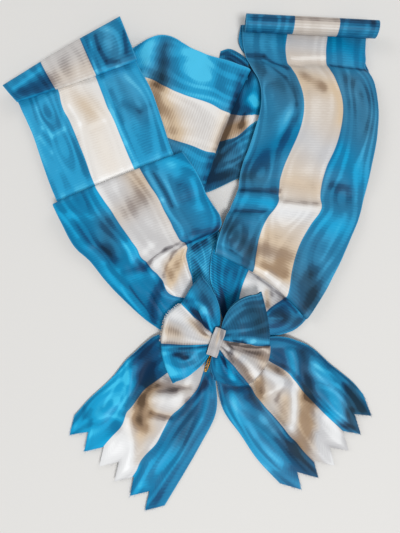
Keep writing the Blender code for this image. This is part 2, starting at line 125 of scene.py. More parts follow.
def halfTurn(crest, ahead, radius):  # the points after the crest, which turn under and face back
    angles = np.linspace(0, math.pi, ribbon["turnCells"] + 1)[1:]
    return [crest + ahead * radius * math.sin(a) - up * radius * (1 - math.cos(a)) for a in angles]


def turnedUnder(grid, back):  # the stretch with its end folded under, which runs back below it
    radius = ribbon["foldRadius"]
    ahead = grid[-1] - grid[-2]
    ahead[:, 2] = 0
    ahead /= np.linalg.norm(ahead, axis=1)[:, None]
    crest = grid[-1] - ahead * (radius + ribbon["wall"])
    crest[:, 2] = (grid[-1, :, 2] + grid[-2, :, 2]) / 2
    keep = len(grid) - 1
    while np.min(np.sum((crest - grid[keep - 1]) * ahead, axis=1)) < radius:
        keep -= 1
    turn = halfTurn(crest, ahead, radius)
    turn += [turn[-1] - ahead * back / 2, turn[-1] - ahead * back]
    return np.concatenate([grid[:keep], [crest], turn])


def spread(field, times):  # widens what is raised, with a soft rim
    for _ in range(times):
        padded = np.pad(field, 1, mode="edge")
        rows, columns = field.shape
        around = [padded[i:i + rows, j:j + columns] for i in range(3) for j in range(3)]
        field = np.maximum(field, (np.max(around, axis=0) + np.mean(around, axis=0)) / 2)
    return field


def treeOf(item):
    points = [vertex.co / mm for vertex in item.data.vertices]
    corners = np.array([list(point) for point in points])
    tree = BVHTree.FromPolygons(points, [list(face.vertices) for face in item.data.polygons])
    return tree, corners[:, :2].min(axis=0), corners[:, :2].max(axis=0)


cadTrees = []
sceneTrees = []


def noteLaid(item, piece):  # what is laid later feels this piece and the solid that it stands for
    sceneTrees.append(treeOf(item))
    cadTrees.append(treeOf(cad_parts[piece["node"]]))


def topBelow(trees, x, y):
    high = 0.0
    for tree, low, far in trees:
        if low[0] <= x <= far[0] and low[1] <= y <= far[1]:
            place = tree.ray_cast(Vector((x, y, ribbon["rayHeight"])), Vector((0, 0, -1)))[0]
            if place is not None:
                high = max(high, place.z)
    return high


def laidOver(grid, turned):  # lifts a grid wherever it would meet a solid that lies below it
    rows, columns = grid.shape[:2]
    feel = ribbon["feel"]
    spots = [(x * feel, y * feel) for x in (-1, 0, 1) for y in (-1, 0, 1)]
    need = np.zeros((rows, columns))
    for i in range(rows):
        for j in range(columns):
            x, y, z = grid[i, j]
            low = z - ribbon["wall"] if i >= rows - turned else z
            high = max(topBelow(cadTrees, x + dx, y + dy) for dx, dy in spots)
            if high > 0:
                need[i, j] = max(0.0, high + ribbon["clearance"] - low)
    first = rows - turned
    if turned:
        near = slice(first - ribbon["rowsNearTurn"], rows)
        need[near] = np.maximum(need[near], need[first:].max(axis=0))
    lift = spread(need, ribbon["rim"])
    if turned:
        lift[first:] = lift[first:].max(axis=0)
    lifted = grid.copy()
    lifted[:, :, 2] += lift
    return lifted


def clearBelow(grid, limit=math.inf):  # how far it can sink until only the gap is left below it
    between = (grid[:, 1:] + grid[:, :-1]) / 2
    samples = np.concatenate([grid, between], axis=1).reshape(-1, 3)
    samples = samples[samples[:, 2] < limit]
    return min(z - topBelow(cadTrees, x, y) for x, y, z in samples) - ribbon["gap"]


def rowPlaces(grid):
    steps = np.linalg.norm(np.diff(grid, axis=0), axis=2).mean(axis=1)
    return np.concatenate([[0], np.cumsum(steps)])


def finer(grid, push=None):  # the same surface on a finer grid, with its distances along
    places = rowPlaces(grid)
    at = [0.0]
    for here, there in zip(places, places[1:]):
        count = max(2, round((there - here) / ribbon["fineStep"]))
        at += list(np.linspace(here, there, count + 1)[1:])
    at = np.array(at)
    shape = (len(at), grid.shape[1], 3)
    rows = curveThrough(places, grid.reshape(len(grid), -1), at).reshape(shape)
    cells = grid.shape[1] - 1
    shares = np.linspace(0, 1, cells * ribbon["finePerCell"] + 1)
    turned = rows.transpose(1, 0, 2).reshape(cells + 1, -1)
    fine = curveThrough(np.linspace(0, 1, cells + 1), turned, shares)
    fine = fine.reshape(len(shares), len(at), 3).transpose(1, 0, 2)
    if push is not None:
        reach = np.stack([np.interp(at, places, push[:, axis]) for axis in (0, 1)], axis=1)
        fine[:, :, :2] += reach[:, None, :] * teethAt(shares)[None, :, None]
    return fine, at, shares


def normalsOf(grid):
    normal = np.cross(np.gradient(grid, axis=0), np.gradient(grid, axis=1))
    normal /= np.linalg.norm(normal, axis=2)[:, :, None]
    return normal if normal[0, :, 2].mean() > 0 else -normal


def softNoise(along, across, reach, seed):
    values = [noise.noise(Vector((a / reach[0], c / reach[1], seed)))
              for a, c in zip(along.ravel(), across.ravel())]
    return np.array(values).reshape(along.shape)


def eyeField(eyes, along, across):  # each one is an oval that the water lines run round
    field = np.zeros_like(along)
    for middle, centre, before, after, reach, strength in eyes:
        away = along - middle
        away = away / np.where(away < 0, before, after)
        field = field + 0.5 * strength * np.exp(-(away**2) - ((across - centre) / reach) ** 2)
    return field


def wovenAcross(piece, along, across):  # the place across the weave, which folds hide in part
    plain = (0, *weave["edges"][1:3])
    rows = np.array([[*row, 0, ribbon["width"]][:5] for row in piece.get("stripes", [plain])], float)
    rows = np.concatenate([rows, rows[-1:] + [[1, 0, 0, 0, 0]]])
    at = np.clip(along[:, 0], rows[0, 0], rows[-1, 0])
    edges = curveThrough(rows[:, 0], rows, at)[:, [3, 1, 2, 4]]
    return np.array([np.interp(line, edge, weave["edges"]) for line, edge in zip(across, edges)])


def waterField(piece, along, woven, across):  # its contours are the lines of the watered silk
    half = weave["stripe"] / 2
    offset = ((woven % weave["stripe"]) - half) / half
    clouds = softNoise(along, woven, waterNoise["reach"], piece["seed"])
    water = waterNoise["bulge"] * (1 - offset**2) + waterNoise["strength"] * clouds
    return water + eyeField(piece.get("eyes", []), along, across)


def wallFaces(rows, columns):
    count = rows * columns
    faces = []
    for i in range(rows - 1):
        for j in range(columns - 1):
            corner = i * columns + j
            square = [corner, corner + 1, corner + columns + 1, corner + columns]
            faces.append(square)
            faces.append([count + index for index in reversed(square)])
    border = list(range(columns))
    border += [i * columns + columns - 1 for i in range(1, rows)]
    border += [(rows - 1) * columns + j for j in range(columns - 2, -1, -1)]
    border += [i * columns for i in range(rows - 2, 0, -1)]
    for here, there in zip(border, border[1:] + border[:1]):
        faces.append([there, here, count + here, count + there])
    return faces


def mapRibbon(mesh):  # the ribbon's own map: along it and across its weave, in ribbon widths
    corners = np.zeros(len(mesh.loops), np.int32)
    mesh.loops.foreach_get("vertex_index", corners)
    pairs = np.zeros((len(corners), 2), np.float32)
    for column, field in enumerate(("along", "woven")):
        values = np.zeros(len(mesh.vertices), np.float32)
        mesh.attributes[field].data.foreach_get("value", values)
        pairs[:, column] = values[corners] / ribbon["width"]
    mesh.uv_layers.new(name="ribbon").data.foreach_set("uv", pairs.ravel())


def newMesh(name, points, edges, faces, fields):
    mesh = bpy.data.meshes.new(name)
    mesh.from_pydata([tuple(point * mm) for point in points], edges, faces)
    for field, values in fields.items():
        attribute = mesh.attributes.new(field, "FLOAT", "POINT")
        attribute.data.foreach_set("value", np.asarray(values, np.float32))
    return mesh


def addItem(name, mesh):
    item = bpy.data.objects.new(name, mesh)
    bpy.context.scene.collection.objects.link(item)
    return item


def addSurface(name, points, faces, fields, material):
    mesh = newMesh(name, points, [], faces, fields)
    mapRibbon(mesh)
    shape = bmesh.new()
    shape.from_mesh(mesh)
    bmesh.ops.recalc_face_normals(shape, faces=shape.faces)
    shape.to_mesh(mesh)
    shape.free()
    mesh.shade_smooth()
    mesh.set_sharp_from_angle(angle=math.radians(ribbon["sharpFrom"]))
    mesh.materials.append(material)
    return addItem(name, mesh)


def join(tree, source, target):
    tree.links.new(source, target)


def addNode(tree, kind, settings, plugs):  # a node with its settings, and its inputs linked or set
    node = tree.nodes.new(kind)
    for label, value in settings.items():
        setattr(node, label, value)
    for label, value in plugs.items():
        if isinstance(value, bpy.types.NodeSocket):
            join(tree, value, node.inputs[label])
        elif value is not None:
            node.inputs[label].default_value = value
    return node


def mathNode(tree, operation, a, b=None, c=None, clamp=False):
    settings = {"operation": operation, "use_clamp": clamp}
    return addNode(tree, "ShaderNodeMath", settings, {0: a, 1: b, 2: c}).outputs[0]


def vectorNode(tree, operation, plugs):
    return addNode(tree, "ShaderNodeVectorMath", {"operation": operation}, plugs).outputs[0]


# A frayed thread's bend, as shares of its length, and the ranges of its stray, spin and size
thread = {
    "cells": 4, "sides": 4, "bend": [(0, 0, 0.6), (0.35, 0, 1.0)], "stray": [(-1, -1, 0), (1, 1, 0.6)],
    "spin": [(0, 0, 0), (0, 0, 6.28)], "size": [(1, 1, 0.3), (1, 1, 1)],
}
wireSides = 8


def newGrowth(name, inputs):  # a geometry node tree that makes a piece from a guide line
    tree = bpy.data.node_groups.new(name, "GeometryNodeTree")
    for label, kind, value in [("Guide", "NodeSocketGeometry", None), *inputs]:
        socket = tree.interface.new_socket(name=label, in_out="INPUT", socket_type=kind)
        if value is not None:
            socket.default_value = value
    tree.interface.new_socket(name="Piece", in_out="OUTPUT", socket_type="NodeSocketGeometry")
    given = tree.nodes.new("NodeGroupInput").outputs
    line = addNode(tree, "GeometryNodeMeshToCurve", {}, {"Mesh": given["Guide"]})
    spots = addNode(tree, "GeometryNodeResampleCurve", {"mode": "LENGTH"},
                    {"Curve": line.outputs[0], "Length": given["Spacing"]})
    return tree, given, spots.outputs[0]


def tubeAlong(tree, line, sides, radius, capped):
    ring = addNode(tree, "GeometryNodeCurvePrimitiveCircle", {}, {"Resolution": sides, "Radius": radius})
    return addNode(tree, "GeometryNodeCurveToMesh", {},
                   {"Curve": line, "Profile Curve": ring.outputs[0], "Fill Caps": capped}).outputs[0]


def randomNode(tree, given, low, high):
    return addNode(tree, "FunctionNodeRandomValue", {"data_type": "FLOAT_VECTOR"},
                   {0: low, 1: high, "Seed": given["Seed"]}).outputs[0]


def endGrowth(tree, given, shape):
    whole = addNode(tree, "GeometryNodeRealizeInstances", {}, {"Geometry": shape})
    dressed = addNode(tree, "GeometryNodeSetMaterial", {},
                      {"Geometry": whole.outputs[0], "Material": given["Material"]})
    join(tree, dressed.outputs[0], tree.nodes.new("NodeGroupOutput").inputs[0])
    return tree


def makeFrayTree():  # short threads that stand out from a cut edge, each bent and turned its own way
    tree, given, spots = newGrowth("frayedEdge", [
        ("Spacing", "NodeSocketFloat", 0.0008), ("Length", "NodeSocketFloat", 0.0015),
        ("Thickness", "NodeSocketFloat", 0.0001), ("Spread", "NodeSocketFloat", 0.5),
        ("Seed", "NodeSocketInt", 1), ("Material", "NodeSocketMaterial", None)])
    middle, end = [vectorNode(tree, "SCALE", {0: place, "Scale": given["Length"]})
                   for place in thread["bend"]]
    bend = addNode(tree, "GeometryNodeCurveQuadraticBezier", {},
                   {"Resolution": thread["cells"], "Start": (0, 0, 0), "Middle": middle, "End": end})
    fibre = tubeAlong(tree, bend.outputs[0], thread["sides"], given["Thickness"], True)
    outward = addNode(tree, "GeometryNodeInputNamedAttribute", {"data_type": "FLOAT_VECTOR"},
                      {"Name": "outward"})
    strayed, spin, size = [randomNode(tree, given, *thread[key]) for key in ("stray", "spin", "size")]
    aim = vectorNode(tree, "MULTIPLY_ADD", {0: strayed, 1: given["Spread"], 2: outward.outputs[0]})
    turn = addNode(tree, "FunctionNodeAlignRotationToVector", {"axis": "Z"},
                   {"Rotation": spin, "Vector": aim})
    placed = addNode(tree, "GeometryNodeInstanceOnPoints", {},
                     {"Points": spots, "Instance": fibre, "Rotation": turn.outputs[0], "Scale": size})
    return endGrowth(tree, given, placed.outputs[0])


def makeTwistTree():  # strands wound round one another along a closed guide
    tree, given, spots = newGrowth("twistedWire", [
        ("Spacing", "NodeSocketFloat", 0.0002), ("Strands", "NodeSocketInt", 2),
        ("Turns", "NodeSocketInt", 12), ("Wire Radius", "NodeSocketFloat", 0.0003),
        ("Lay Radius", "NodeSocketFloat", 0.0003), ("Material", "NodeSocketMaterial", None)])
    strands = addNode(tree, "GeometryNodeDuplicateElements", {"domain": "SPLINE"},
                      {"Geometry": spots, "Amount": given["Strands"]})
    share = addNode(tree, "GeometryNodeSplineParameter", {}, {}).outputs["Factor"]
    start = mathNode(tree, "DIVIDE", strands.outputs["Duplicate Index"], given["Strands"])
    turned = mathNode(tree, "MULTIPLY_ADD", share, given["Turns"], start)
    angle = mathNode(tree, "MULTIPLY", turned, 2 * math.pi)
    normal = tree.nodes.new("GeometryNodeInputNormal").outputs[0]
    tangent = tree.nodes.new("GeometryNodeInputTangent").outputs[0]
    side = vectorNode(tree, "CROSS_PRODUCT", {0: tangent, 1: normal})
    sway = []
    for operation, direction in (("COSINE", normal), ("SINE", side)):
        reach = mathNode(tree, "MULTIPLY", mathNode(tree, operation, angle), given["Lay Radius"])
        sway.append(vectorNode(tree, "SCALE", {0: direction, "Scale": reach}))
    offset = vectorNode(tree, "ADD", {0: sway[0], 1: sway[1]})
    wound = addNode(tree, "GeometryNodeSetPosition", {}, {"Geometry": strands.outputs[0], "Offset": offset})
    return endGrowth(tree, given, tubeAlong(tree, wound.outputs[0], wireSides, given["Wire Radius"], False))


def grow(name, guide, tree, sizes):  # runs the tree once and keeps the plain mesh that it makes
    item = addItem(name, guide)
    growth = item.modifiers.new("growth", "NODES")
    growth.node_group = tree
    for socket in tree.interface.items_tree:
        if socket.in_out == "INPUT" and socket.name in sizes:
            growth[socket.identifier] = sizes[socket.name]
    evaluated = item.evaluated_get(bpy.context.evaluated_depsgraph_get())
    mesh = bpy.data.meshes.new_from_object(evaluated)
    mesh.name = name
    item.modifiers.clear()
    item.data = mesh
    mesh.shade_smooth()
    return item


def addFray(piece, top, normal, fields, material):
    fray = piece["fray"]
    nominal = fields["across"][0]
    columns = np.nonzero((nominal >= fray["from"]) & (nominal <= fray["to"]))[0]
    if "toothed" in piece:
        rows = np.full(len(columns), len(top) - 1)
        outward = top[-1, columns] - top[-2, columns]
    else:
        away = np.linalg.norm(top[:, columns, :2] - np.array(bow["knot"]), axis=2)
        rows = np.argmax(away, axis=0)
        outward = normal[rows, columns]
    outward = outward / np.linalg.norm(outward, axis=1)[:, None]
    points = top[rows, columns] - normal[rows, columns] * ribbon["cloth"] / 2
    lines = [(i, i + 1) for i in range(len(points) - 1)]
    fields = {name: values[rows, columns] for name, values in fields.items()}
    guide = newMesh("guide", points, lines, [], fields)
    guide.attributes.new("outward", "FLOAT_VECTOR", "POINT").data.foreach_set("vector", outward.ravel())
    item = grow(piece["name"].replace("ribbon", "fray"), guide, frayTree, {
        "Spacing": fray["spacing"] * mm, "Length": fray["length"] * mm, "Spread": fray["spread"],
        "Thickness": fray["thickness"] / 2 * mm, "Seed": int(piece["seed"]), "Material": material})
    mapRibbon(item.data)
    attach(item, "root")
    return item


def dress(item, piece):
    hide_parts(piece["node"])
    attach(item, "root")


def addCloth(piece, top, normal, along, across, material):
    low = top - normal * ribbon["cloth"]
    points = np.concatenate([low.reshape(-1, 3), top.reshape(-1, 3)])
    woven = wovenAcross(piece, along, across)
    clouds = softNoise(along, across, cloudiness["reach"], piece["seed"] + cloudiness["seed"])
    fields = {"along": along, "across": across, "woven": woven}
    fields["water"] = waterField(piece, along, woven, across)
    # The tone field is painted shade and highlight besides the moiré's own tone: a level per piece, random
    # cloudiness, and strokes that paint shadows, fold shade and highlights along with the moiré's dark and
    # light patches
    fields["tone"] = piece.get("level", 0) + cloudiness["strength"] * clouds
    # The tint field is painted light: it mixes in the warm-lit white and the dull shaded azure
    fields["warm"] = piece.get("warm", 0.3)
    fields["ribbing"] = piece.get("ribbing", 1.0)
    for field, strokes in (("tone", "toneShadeHighlightStrokes"), ("warm", "lightTintShare"), ("ribbing", "ribs")):
        fields[field] = fields[field] + softStrokes(piece.get(strokes, []), along, across)
    if "ribsLengthwise" in piece:
        closer, wider = piece["ribsLengthwise"]
        fields["along"], fields["woven"] = woven * closer, along * wider
    trims = [addFray(piece, top, normal, fields, material)] if "fray" in piece else []
    fields = {name: np.tile(values.ravel(), 2) for name, values in fields.items()}
    item = addSurface(piece["name"], points, wallFaces(*along.shape), fields, material)
    dress(item, piece)
    noteLaid(item, piece)
    print("laid", piece["name"])


def layFine(piece, grid, push, material, turned=0):
    fine, at, shares = finer(grid, push)
    along, across = np.meshgrid(at, shares * ribbon["width"], indexing="ij")
    normal = normalsOf(fine)
    widths = np.linalg.norm(np.diff(fine, axis=1), axis=2)
    widths = np.concatenate([widths, widths[:, -1:]], axis=1) / (ribbon["width"] / (len(shares) - 1))
    ease = np.clip(widths, 0, 1) ** unrest["gathering"]  # less unrest where the ribbon is gathered
    detail = softStrokes(piece.get("creases", []), along, across)
    for kind in (unrest, wrinkle):
        detail += kind["height"] * softNoise(along, across, kind["reach"], piece["seed"] + kind["seed"])
    flatPart = np.ones(len(at))
    if turned:
        start = rowPlaces(grid)[-turned - 1]
        flatPart = np.clip((start - at) / unrest["fadeOver"], 0, 1)
    detail *= ease * flatPart[:, None]
    fine = fine + normal * detail[:, :, None]
    normal = normalsOf(fine)
    top = fine + normal * ribbon["wall"]
    low = top - normal * ribbon["cloth"]
    need = np.zeros(along.shape)
    for i in range(along.shape[0]):
        for j in range(along.shape[1]):
            x, y, z = low[i, j]
            need[i, j] = max(0.0, topBelow(sceneTrees, x, y) + ribbon["fineClearance"] - z)
    lift = spread(need, ribbon["fineRim"])
    if turned:
        first = int(np.searchsorted(at, start))
        lift[first:] = lift[first:].max(axis=0)
    top[:, :, 2] += lift
    addCloth(piece, top, normalsOf(top), along, across, material)


def tint(red, green, blue):  # screen values from 0 to 255, as linear light
    shares = [value / 255 for value in (red, green, blue)]
    return (*(v / 12.92 if v <= 0.04045 else ((v + 0.055) / 1.055) ** 2.4 for v in shares), 1)


# Each ramp runs from deep shade to full sheen
finish = {
    "azure": [(0.0, tint(6, 46, 80)), (0.25, tint(8, 76, 120)), (0.5, tint(8, 122, 170)),
              (0.75, tint(18, 163, 215)), (1.0, tint(60, 200, 244))],
    # The next ramp and the warm white ramp after it are painted light: the azure dulled as in deep shade,
    # and the white warmed to tan as under a warm lamp's reflection
    "shadedAzure": [(0.0, tint(22, 50, 68)), (0.25, tint(36, 82, 110)), (0.5, tint(56, 122, 158)),
                   (0.75, tint(80, 156, 194)), (1.0, tint(124, 198, 228))],
    "coolWhite": [(0.0, tint(84, 82, 86)), (0.25, tint(142, 140, 144)), (0.5, tint(200, 200, 202)),
                  (0.75, tint(233, 234, 235)), (1.0, tint(252, 253, 254))],
    "warmLitWhite": [(0.0, tint(100, 80, 62)), (0.25, tint(162, 136, 110)), (0.5, tint(216, 194, 166)),
                  (0.75, tint(240, 227, 210)), (1.0, tint(252, 247, 240))],
    "gilt": [(0.3, tint(96, 58, 14)), (0.5, tint(214, 164, 72)), (0.8, tint(250, 218, 140))],
    "selvedge": tint(86, 180, 222), "selvedgeFrom": 49.2, "selvedgeSharpness": 2.0, "selvedgeShare": 0.4,
    "stripeHalf": 16.75, "stripeSharpness": 2.2, "ribPitch": 1.9, "ribDepth": 0.25,
    "waterLines": 1.0, "waterDepth": 0.1, "bump": 0.35, "bumpDepth": 0.0002, "sheen": 0.0, "gloss": 0.12,
    "roughness": 0.54, "smoother": -0.16, "giltGrain": 900.0, "giltRoughness": (0.25, 0.15),
}

# Grains are noise scales a millimetre, along and across. The rest is how strong each part is
watering = {
    "jagGrain": (1.1, 0.16), "jag": 0.16, "patchGrain": (0.03, 0.05), "patch": 3.2, "patchStart": -1.0,
    "slubGrain": (1.7, 0.25), "slub": 0.1, "lineSharpness": 3.0, "line": 0.12, "swell": 0.06,
    "ripple": 0.015, "ripplesInWave": 3, "rib": 0.035, "tone": 0.4,
    "shades": [("Azure Shade", 0.5, 1.0), ("White Shade", 0.56, 0.35)],
}


def newGroup(name, inputs, outputs):
    group = bpy.data.node_groups.new(name, "ShaderNodeTree")
    for label, value in inputs:
        socket = group.interface.new_socket(name=label, in_out="INPUT", socket_type="NodeSocketFloat")
        socket.default_value = value
    for label in outputs:
        group.interface.new_socket(name=label, in_out="OUTPUT", socket_type="NodeSocketFloat")
    return group, group.nodes.new("NodeGroupInput").outputs, group.nodes.new("NodeGroupOutput")


def ramp(tree, value, stops):
    node = addNode(tree, "ShaderNodeValToRGB", {}, {0: value})
    node.color_ramp.interpolation = "EASE"
    while len(node.color_ramp.elements) < len(stops):
        node.color_ramp.elements.new(0.5)
    for element, (place, colour) in zip(node.color_ramp.elements, stops):
        element.position = place
        element.color = colour
    return node.outputs["Color"]


def mixColour(tree, factor, a, b):
    return addNode(tree, "ShaderNodeMix", {"data_type": "RGBA"}, {0: factor, 6: a, 7: b}).outputs[2]


def grainOf(tree, place, scale):
    stretched = vectorNode(tree, "MULTIPLY", {0: place, 1: (*scale, 1)})
    return addNode(tree, "ShaderNodeTexNoise", {},
                   {"Vector": stretched, "Scale": 1.0, "Detail": 1.0}).outputs["Fac"]


def sineOf(tree, value, turns=1):
    return mathNode(tree, "SINE", mathNode(tree, "MULTIPLY", value, turns * 2 * math.pi))


def makeWateredGroup():  # contour lines of the water field, broken up along the cross ribs
    tree, given, result = newGroup("wateredSilk", [
        ("Along", 0.0), ("Across", 0.0), ("Water", 0.0), ("Tone", 0.0), ("Ribbing", 1.0), ("Lines", 1.0),
        ("Rib Pitch", 1.6)], ["Azure Shade", "White Shade", "Rib", "Line"])
    place = addNode(tree, "ShaderNodeCombineXYZ", {}, {0: given["Along"], 1: given["Across"]}).outputs[0]
    jagGrain = grainOf(tree, place, watering["jagGrain"])
    jag = mathNode(tree, "MULTIPLY_ADD", jagGrain, watering["jag"], -watering["jag"] / 2)
    phase = mathNode(tree, "MULTIPLY_ADD", given["Water"], given["Lines"], jag)
    wave = sineOf(tree, phase)
    fine = sineOf(tree, phase, watering["ripplesInWave"])
    patchGrain = grainOf(tree, place, watering["patchGrain"])
    gate = mathNode(tree, "MULTIPLY_ADD", patchGrain, watering["patch"], watering["patchStart"], clamp=True)
    line = mathNode(tree, "POWER", mathNode(tree, "MULTIPLY_ADD", wave, 0.5, 0.5), watering["lineSharpness"])
    line = mathNode(tree, "MULTIPLY", line, gate)
    moire = mathNode(tree, "MULTIPLY", wave, watering["swell"])
    moire = mathNode(tree, "MULTIPLY_ADD", fine, watering["ripple"], moire)
    moire = mathNode(tree, "MULTIPLY_ADD", line, watering["line"], moire)
    rib = sineOf(tree, mathNode(tree, "DIVIDE", given["Along"], given["Rib Pitch"]))
    shade = mathNode(tree, "MULTIPLY", mathNode(tree, "MULTIPLY", rib, watering["rib"]), given["Ribbing"])
    shade = mathNode(tree, "SUBTRACT", shade, watering["slub"] / 2)
    slubGrain = grainOf(tree, place, watering["slubGrain"])
    shade = mathNode(tree, "MULTIPLY_ADD", slubGrain, watering["slub"], shade)
    # Adds the tone field, with its painted shade and highlights, to the shade
    shade = mathNode(tree, "MULTIPLY_ADD", given["Tone"], watering["tone"], shade)
    for label, level, share in watering["shades"]:
        whole = mathNode(tree, "MULTIPLY_ADD", moire, share, mathNode(tree, "ADD", shade, level))
        join(tree, mathNode(tree, "ADD", whole, 0.0, clamp=True), result.inputs[label])
    join(tree, mathNode(tree, "MULTIPLY_ADD", rib, 0.5, 0.5), result.inputs["Rib"])
    join(tree, line, result.inputs["Line"])
    return tree


wateredGroup = makeWateredGroup()


def newMaterial(name):
    material = bpy.data.materials.new(name)
    material.use_nodes = True
    return material, material.node_tree, material.node_tree.nodes["Principled BSDF"]


def fieldNode(tree, name):
    return addNode(tree, "ShaderNodeAttribute", {"attribute_name": name}, {}).outputs["Fac"]


def makeRibbonMaterial(name, striped):
    material, tree, shader = newMaterial(name)
    ribbonMap = addNode(tree, "ShaderNodeUVMap", {"uv_map": "ribbon"}, {}).outputs[0]
    parts = addNode(tree, "ShaderNodeSeparateXYZ", {}, {0: ribbonMap}).outputs
    along, across = [mathNode(tree, "MULTIPLY", part, ribbon["width"]) for part in parts[:2]]
    watered = addNode(tree, "ShaderNodeGroup", {"node_tree": wateredGroup}, {
        "Along": along, "Across": across, "Water": fieldNode(tree, "water"), "Tone": fieldNode(tree, "tone"),
        "Ribbing": fieldNode(tree, "ribbing"), "Lines": finish["waterLines"],
        "Rib Pitch": finish["ribPitch"]}).outputs
    # Painted light: the tint field mixes the warm-lit white and the dull shaded azure into the plain ramps
    lightTintShare = mathNode(tree, "ADD", fieldNode(tree, "warm"), 0.0, clamp=True)
    azure = mixColour(tree, lightTintShare, ramp(tree, watered["Azure Shade"], finish["azure"]),
                      ramp(tree, watered["Azure Shade"], finish["shadedAzure"]))
    white = mixColour(tree, lightTintShare, ramp(tree, watered["White Shade"], finish["coolWhite"]),
                      ramp(tree, watered["White Shade"], finish["warmLitWhite"]))
    colour = white
    if striped:
        away = mathNode(tree, "ABSOLUTE", mathNode(tree, "SUBTRACT", across, ribbon["width"] / 2))
        steep = finish["stripeSharpness"]
        mask = mathNode(tree, "MULTIPLY_ADD", away, -steep, steep * finish["stripeHalf"] + 0.5, clamp=True)
        colour = mixColour(tree, mask, azure, white)
        steep = finish["selvedgeSharpness"]
        edge = mathNode(tree, "MULTIPLY_ADD", away, steep, -steep * finish["selvedgeFrom"], clamp=True)
        edge = mathNode(tree, "MULTIPLY", edge, finish["selvedgeShare"])
        colour = mixColour(tree, edge, colour, finish["selvedge"])
    rough = mathNode(tree, "MULTIPLY_ADD", watered["Azure Shade"], finish["smoother"], finish["roughness"])
    height = mathNode(tree, "MULTIPLY", watered["Line"], finish["waterDepth"])
    height = mathNode(tree, "MULTIPLY_ADD", watered["Rib"], finish["ribDepth"], height)
    bump = addNode(tree, "ShaderNodeBump", {}, {
        "Strength": finish["bump"], "Distance": finish["bumpDepth"], "Height": height})
    join(tree, colour, shader.inputs["Base Color"])
    join(tree, rough, shader.inputs["Roughness"])
    join(tree, bump.outputs[0], shader.inputs["Normal"])
    shader.inputs["Specular IOR Level"].default_value = finish["gloss"]
    shader.inputs["Sheen Weight"].default_value = finish["sheen"]
    return material


def makeGiltMaterial():
    material, tree, shader = newMaterial("giltMetal")
    place = tree.nodes.new("ShaderNodeTexCoord").outputs["Object"]
    worn = addNode(tree, "ShaderNodeTexNoise", {},
                   {"Vector": place, "Scale": finish["giltGrain"], "Detail": 3.0}).outputs["Fac"]
    join(tree, ramp(tree, worn, finish["gilt"]), shader.inputs["Base Color"])
    rough = mathNode(tree, "MULTIPLY_ADD", worn, *finish["giltRoughness"])
    join(tree, rough, shader.inputs["Roughness"])
    shader.inputs["Metallic"].default_value = 1.0
    return material


sashSilk = makeRibbonMaterial("sashSilk", True)
wrapSilk = makeRibbonMaterial("wrapSilk", False)
giltMetal = makeGiltMaterial()
frayTree = makeFrayTree()
twistTree = makeTwistTree()
print("finishes made")

layers = {
    "count": 5, "pitch": 0.7, "inset": 1.5, "stagger": 0.5, "staggerTurn": 2.4, "rows": 61, "columns": 49,
    "coarseRows": 15, "base": 0.05, "water": 0.02, "tone": -0.4, "warm": 0.3,
}


def addFoldedLayers(piece):  # the folded ribbon that lies under a limb
    table, places = sectionTable(piece)
    coarse = np.linspace(0, places[-1], layers["coarseRows"])
    at = np.linspace(0, places[-1], layers["rows"])
    read = curveThrough(coarse, curveThrough(places, table, coarse), at)
    shares = np.linspace(0, 1, layers["columns"])
    along, across = np.meshgrid(at, shares * ribbon["width"], indexing="ij")
    points, faces, alongs, acrosses = [], [], [], []
    for layer in range(layers["count"]):
        inset = layers["inset"] + layers["stagger"] * math.sin(layers["staggerTurn"] * layer + piece["seed"])
        inset /= ribbon["width"]
        grid = np.zeros((len(at), len(shares), 3))
        for column, share in enumerate(shares):
            inner = inset + share * (1 - 2 * inset)
            grid[:, column] = read[:, 0:3] + (read[:, 3:6] - read[:, 0:3]) * inner
        ripple = softNoise(along, across, layerNoise["reach"], piece["seed"] + layer) + layerNoise["offset"]
        grid[:, :, 2] = layers["base"] + layer * layers["pitch"] + layerNoise["height"] * ripple
        start = len(points)
        low = grid - up * ribbon["cloth"]
        low[:, :, 2] = np.maximum(low[:, :, 2], 0)
        points += list(low.reshape(-1, 3)) + list(grid.reshape(-1, 3) + up * layers["base"])
        faces += [[start + index for index in face] for face in wallFaces(*along.shape)]
        alongs += list(np.tile(along.ravel(), 2) + layer * places[-1])
        acrosses += list(np.tile(across.ravel(), 2))
    along, across = np.array(alongs), np.array(acrosses)
    fields = {"along": along, "across": across, "woven": across, "water": layers["water"] * along}
    # The hidden layers get a darker tone, painted shade for lying under the limbs, and painted warm light
    for field, level in (("tone", layers["tone"]), ("warm", layers["warm"]), ("ribbing", 1)):
        fields[field] = 0 * along + level
    item = addSurface(piece["name"], points, faces, fields, sashSilk)
    dress(item, piece)
    noteLaid(item, piece)


# Section columns: left x, y, z, right x, y, z, rise of the middle, bow of the middle
leftLayers = {
    "name": "left_folded_layers", "node": "left_hidden_layers", "seed": 1,
    "sections": [(-122, 122, 0, -46, 150, 0, 0), (-112, 100, 0, -36, 128, 0, 0),
        (-103, 75, 0, -28, 105, 0, 0), (-96, 52, 0, -20, 82, 0, 0), (-89, 34, 0, -8, 62, 0, 0),
        (-74, 14, 0, 4, 40, 0, 0)],
}
rightLayers = {
    "name": "right_folded_layers", "node": "right_hidden_layers", "seed": 2,
    "sections": [(37, 186, 0, 131, 181, 0, 0), (38, 166, 0, 133, 161, 0, 0), (76, 150, 0, 137, 146, 0, 0),
        (74, 125, 0, 135, 122, 0, 0), (68, 96, 0, 132, 95, 0, 0), (56, 70, 0, 124, 58, 0, 0),
        (46, 44, 0, 112, 26, 0, 0), (40, 28, 0, 98, 0, 0, 0)],
}
addFoldedLayers(leftLayers)
addFoldedLayers(rightLayers)
print("folded layers laid")
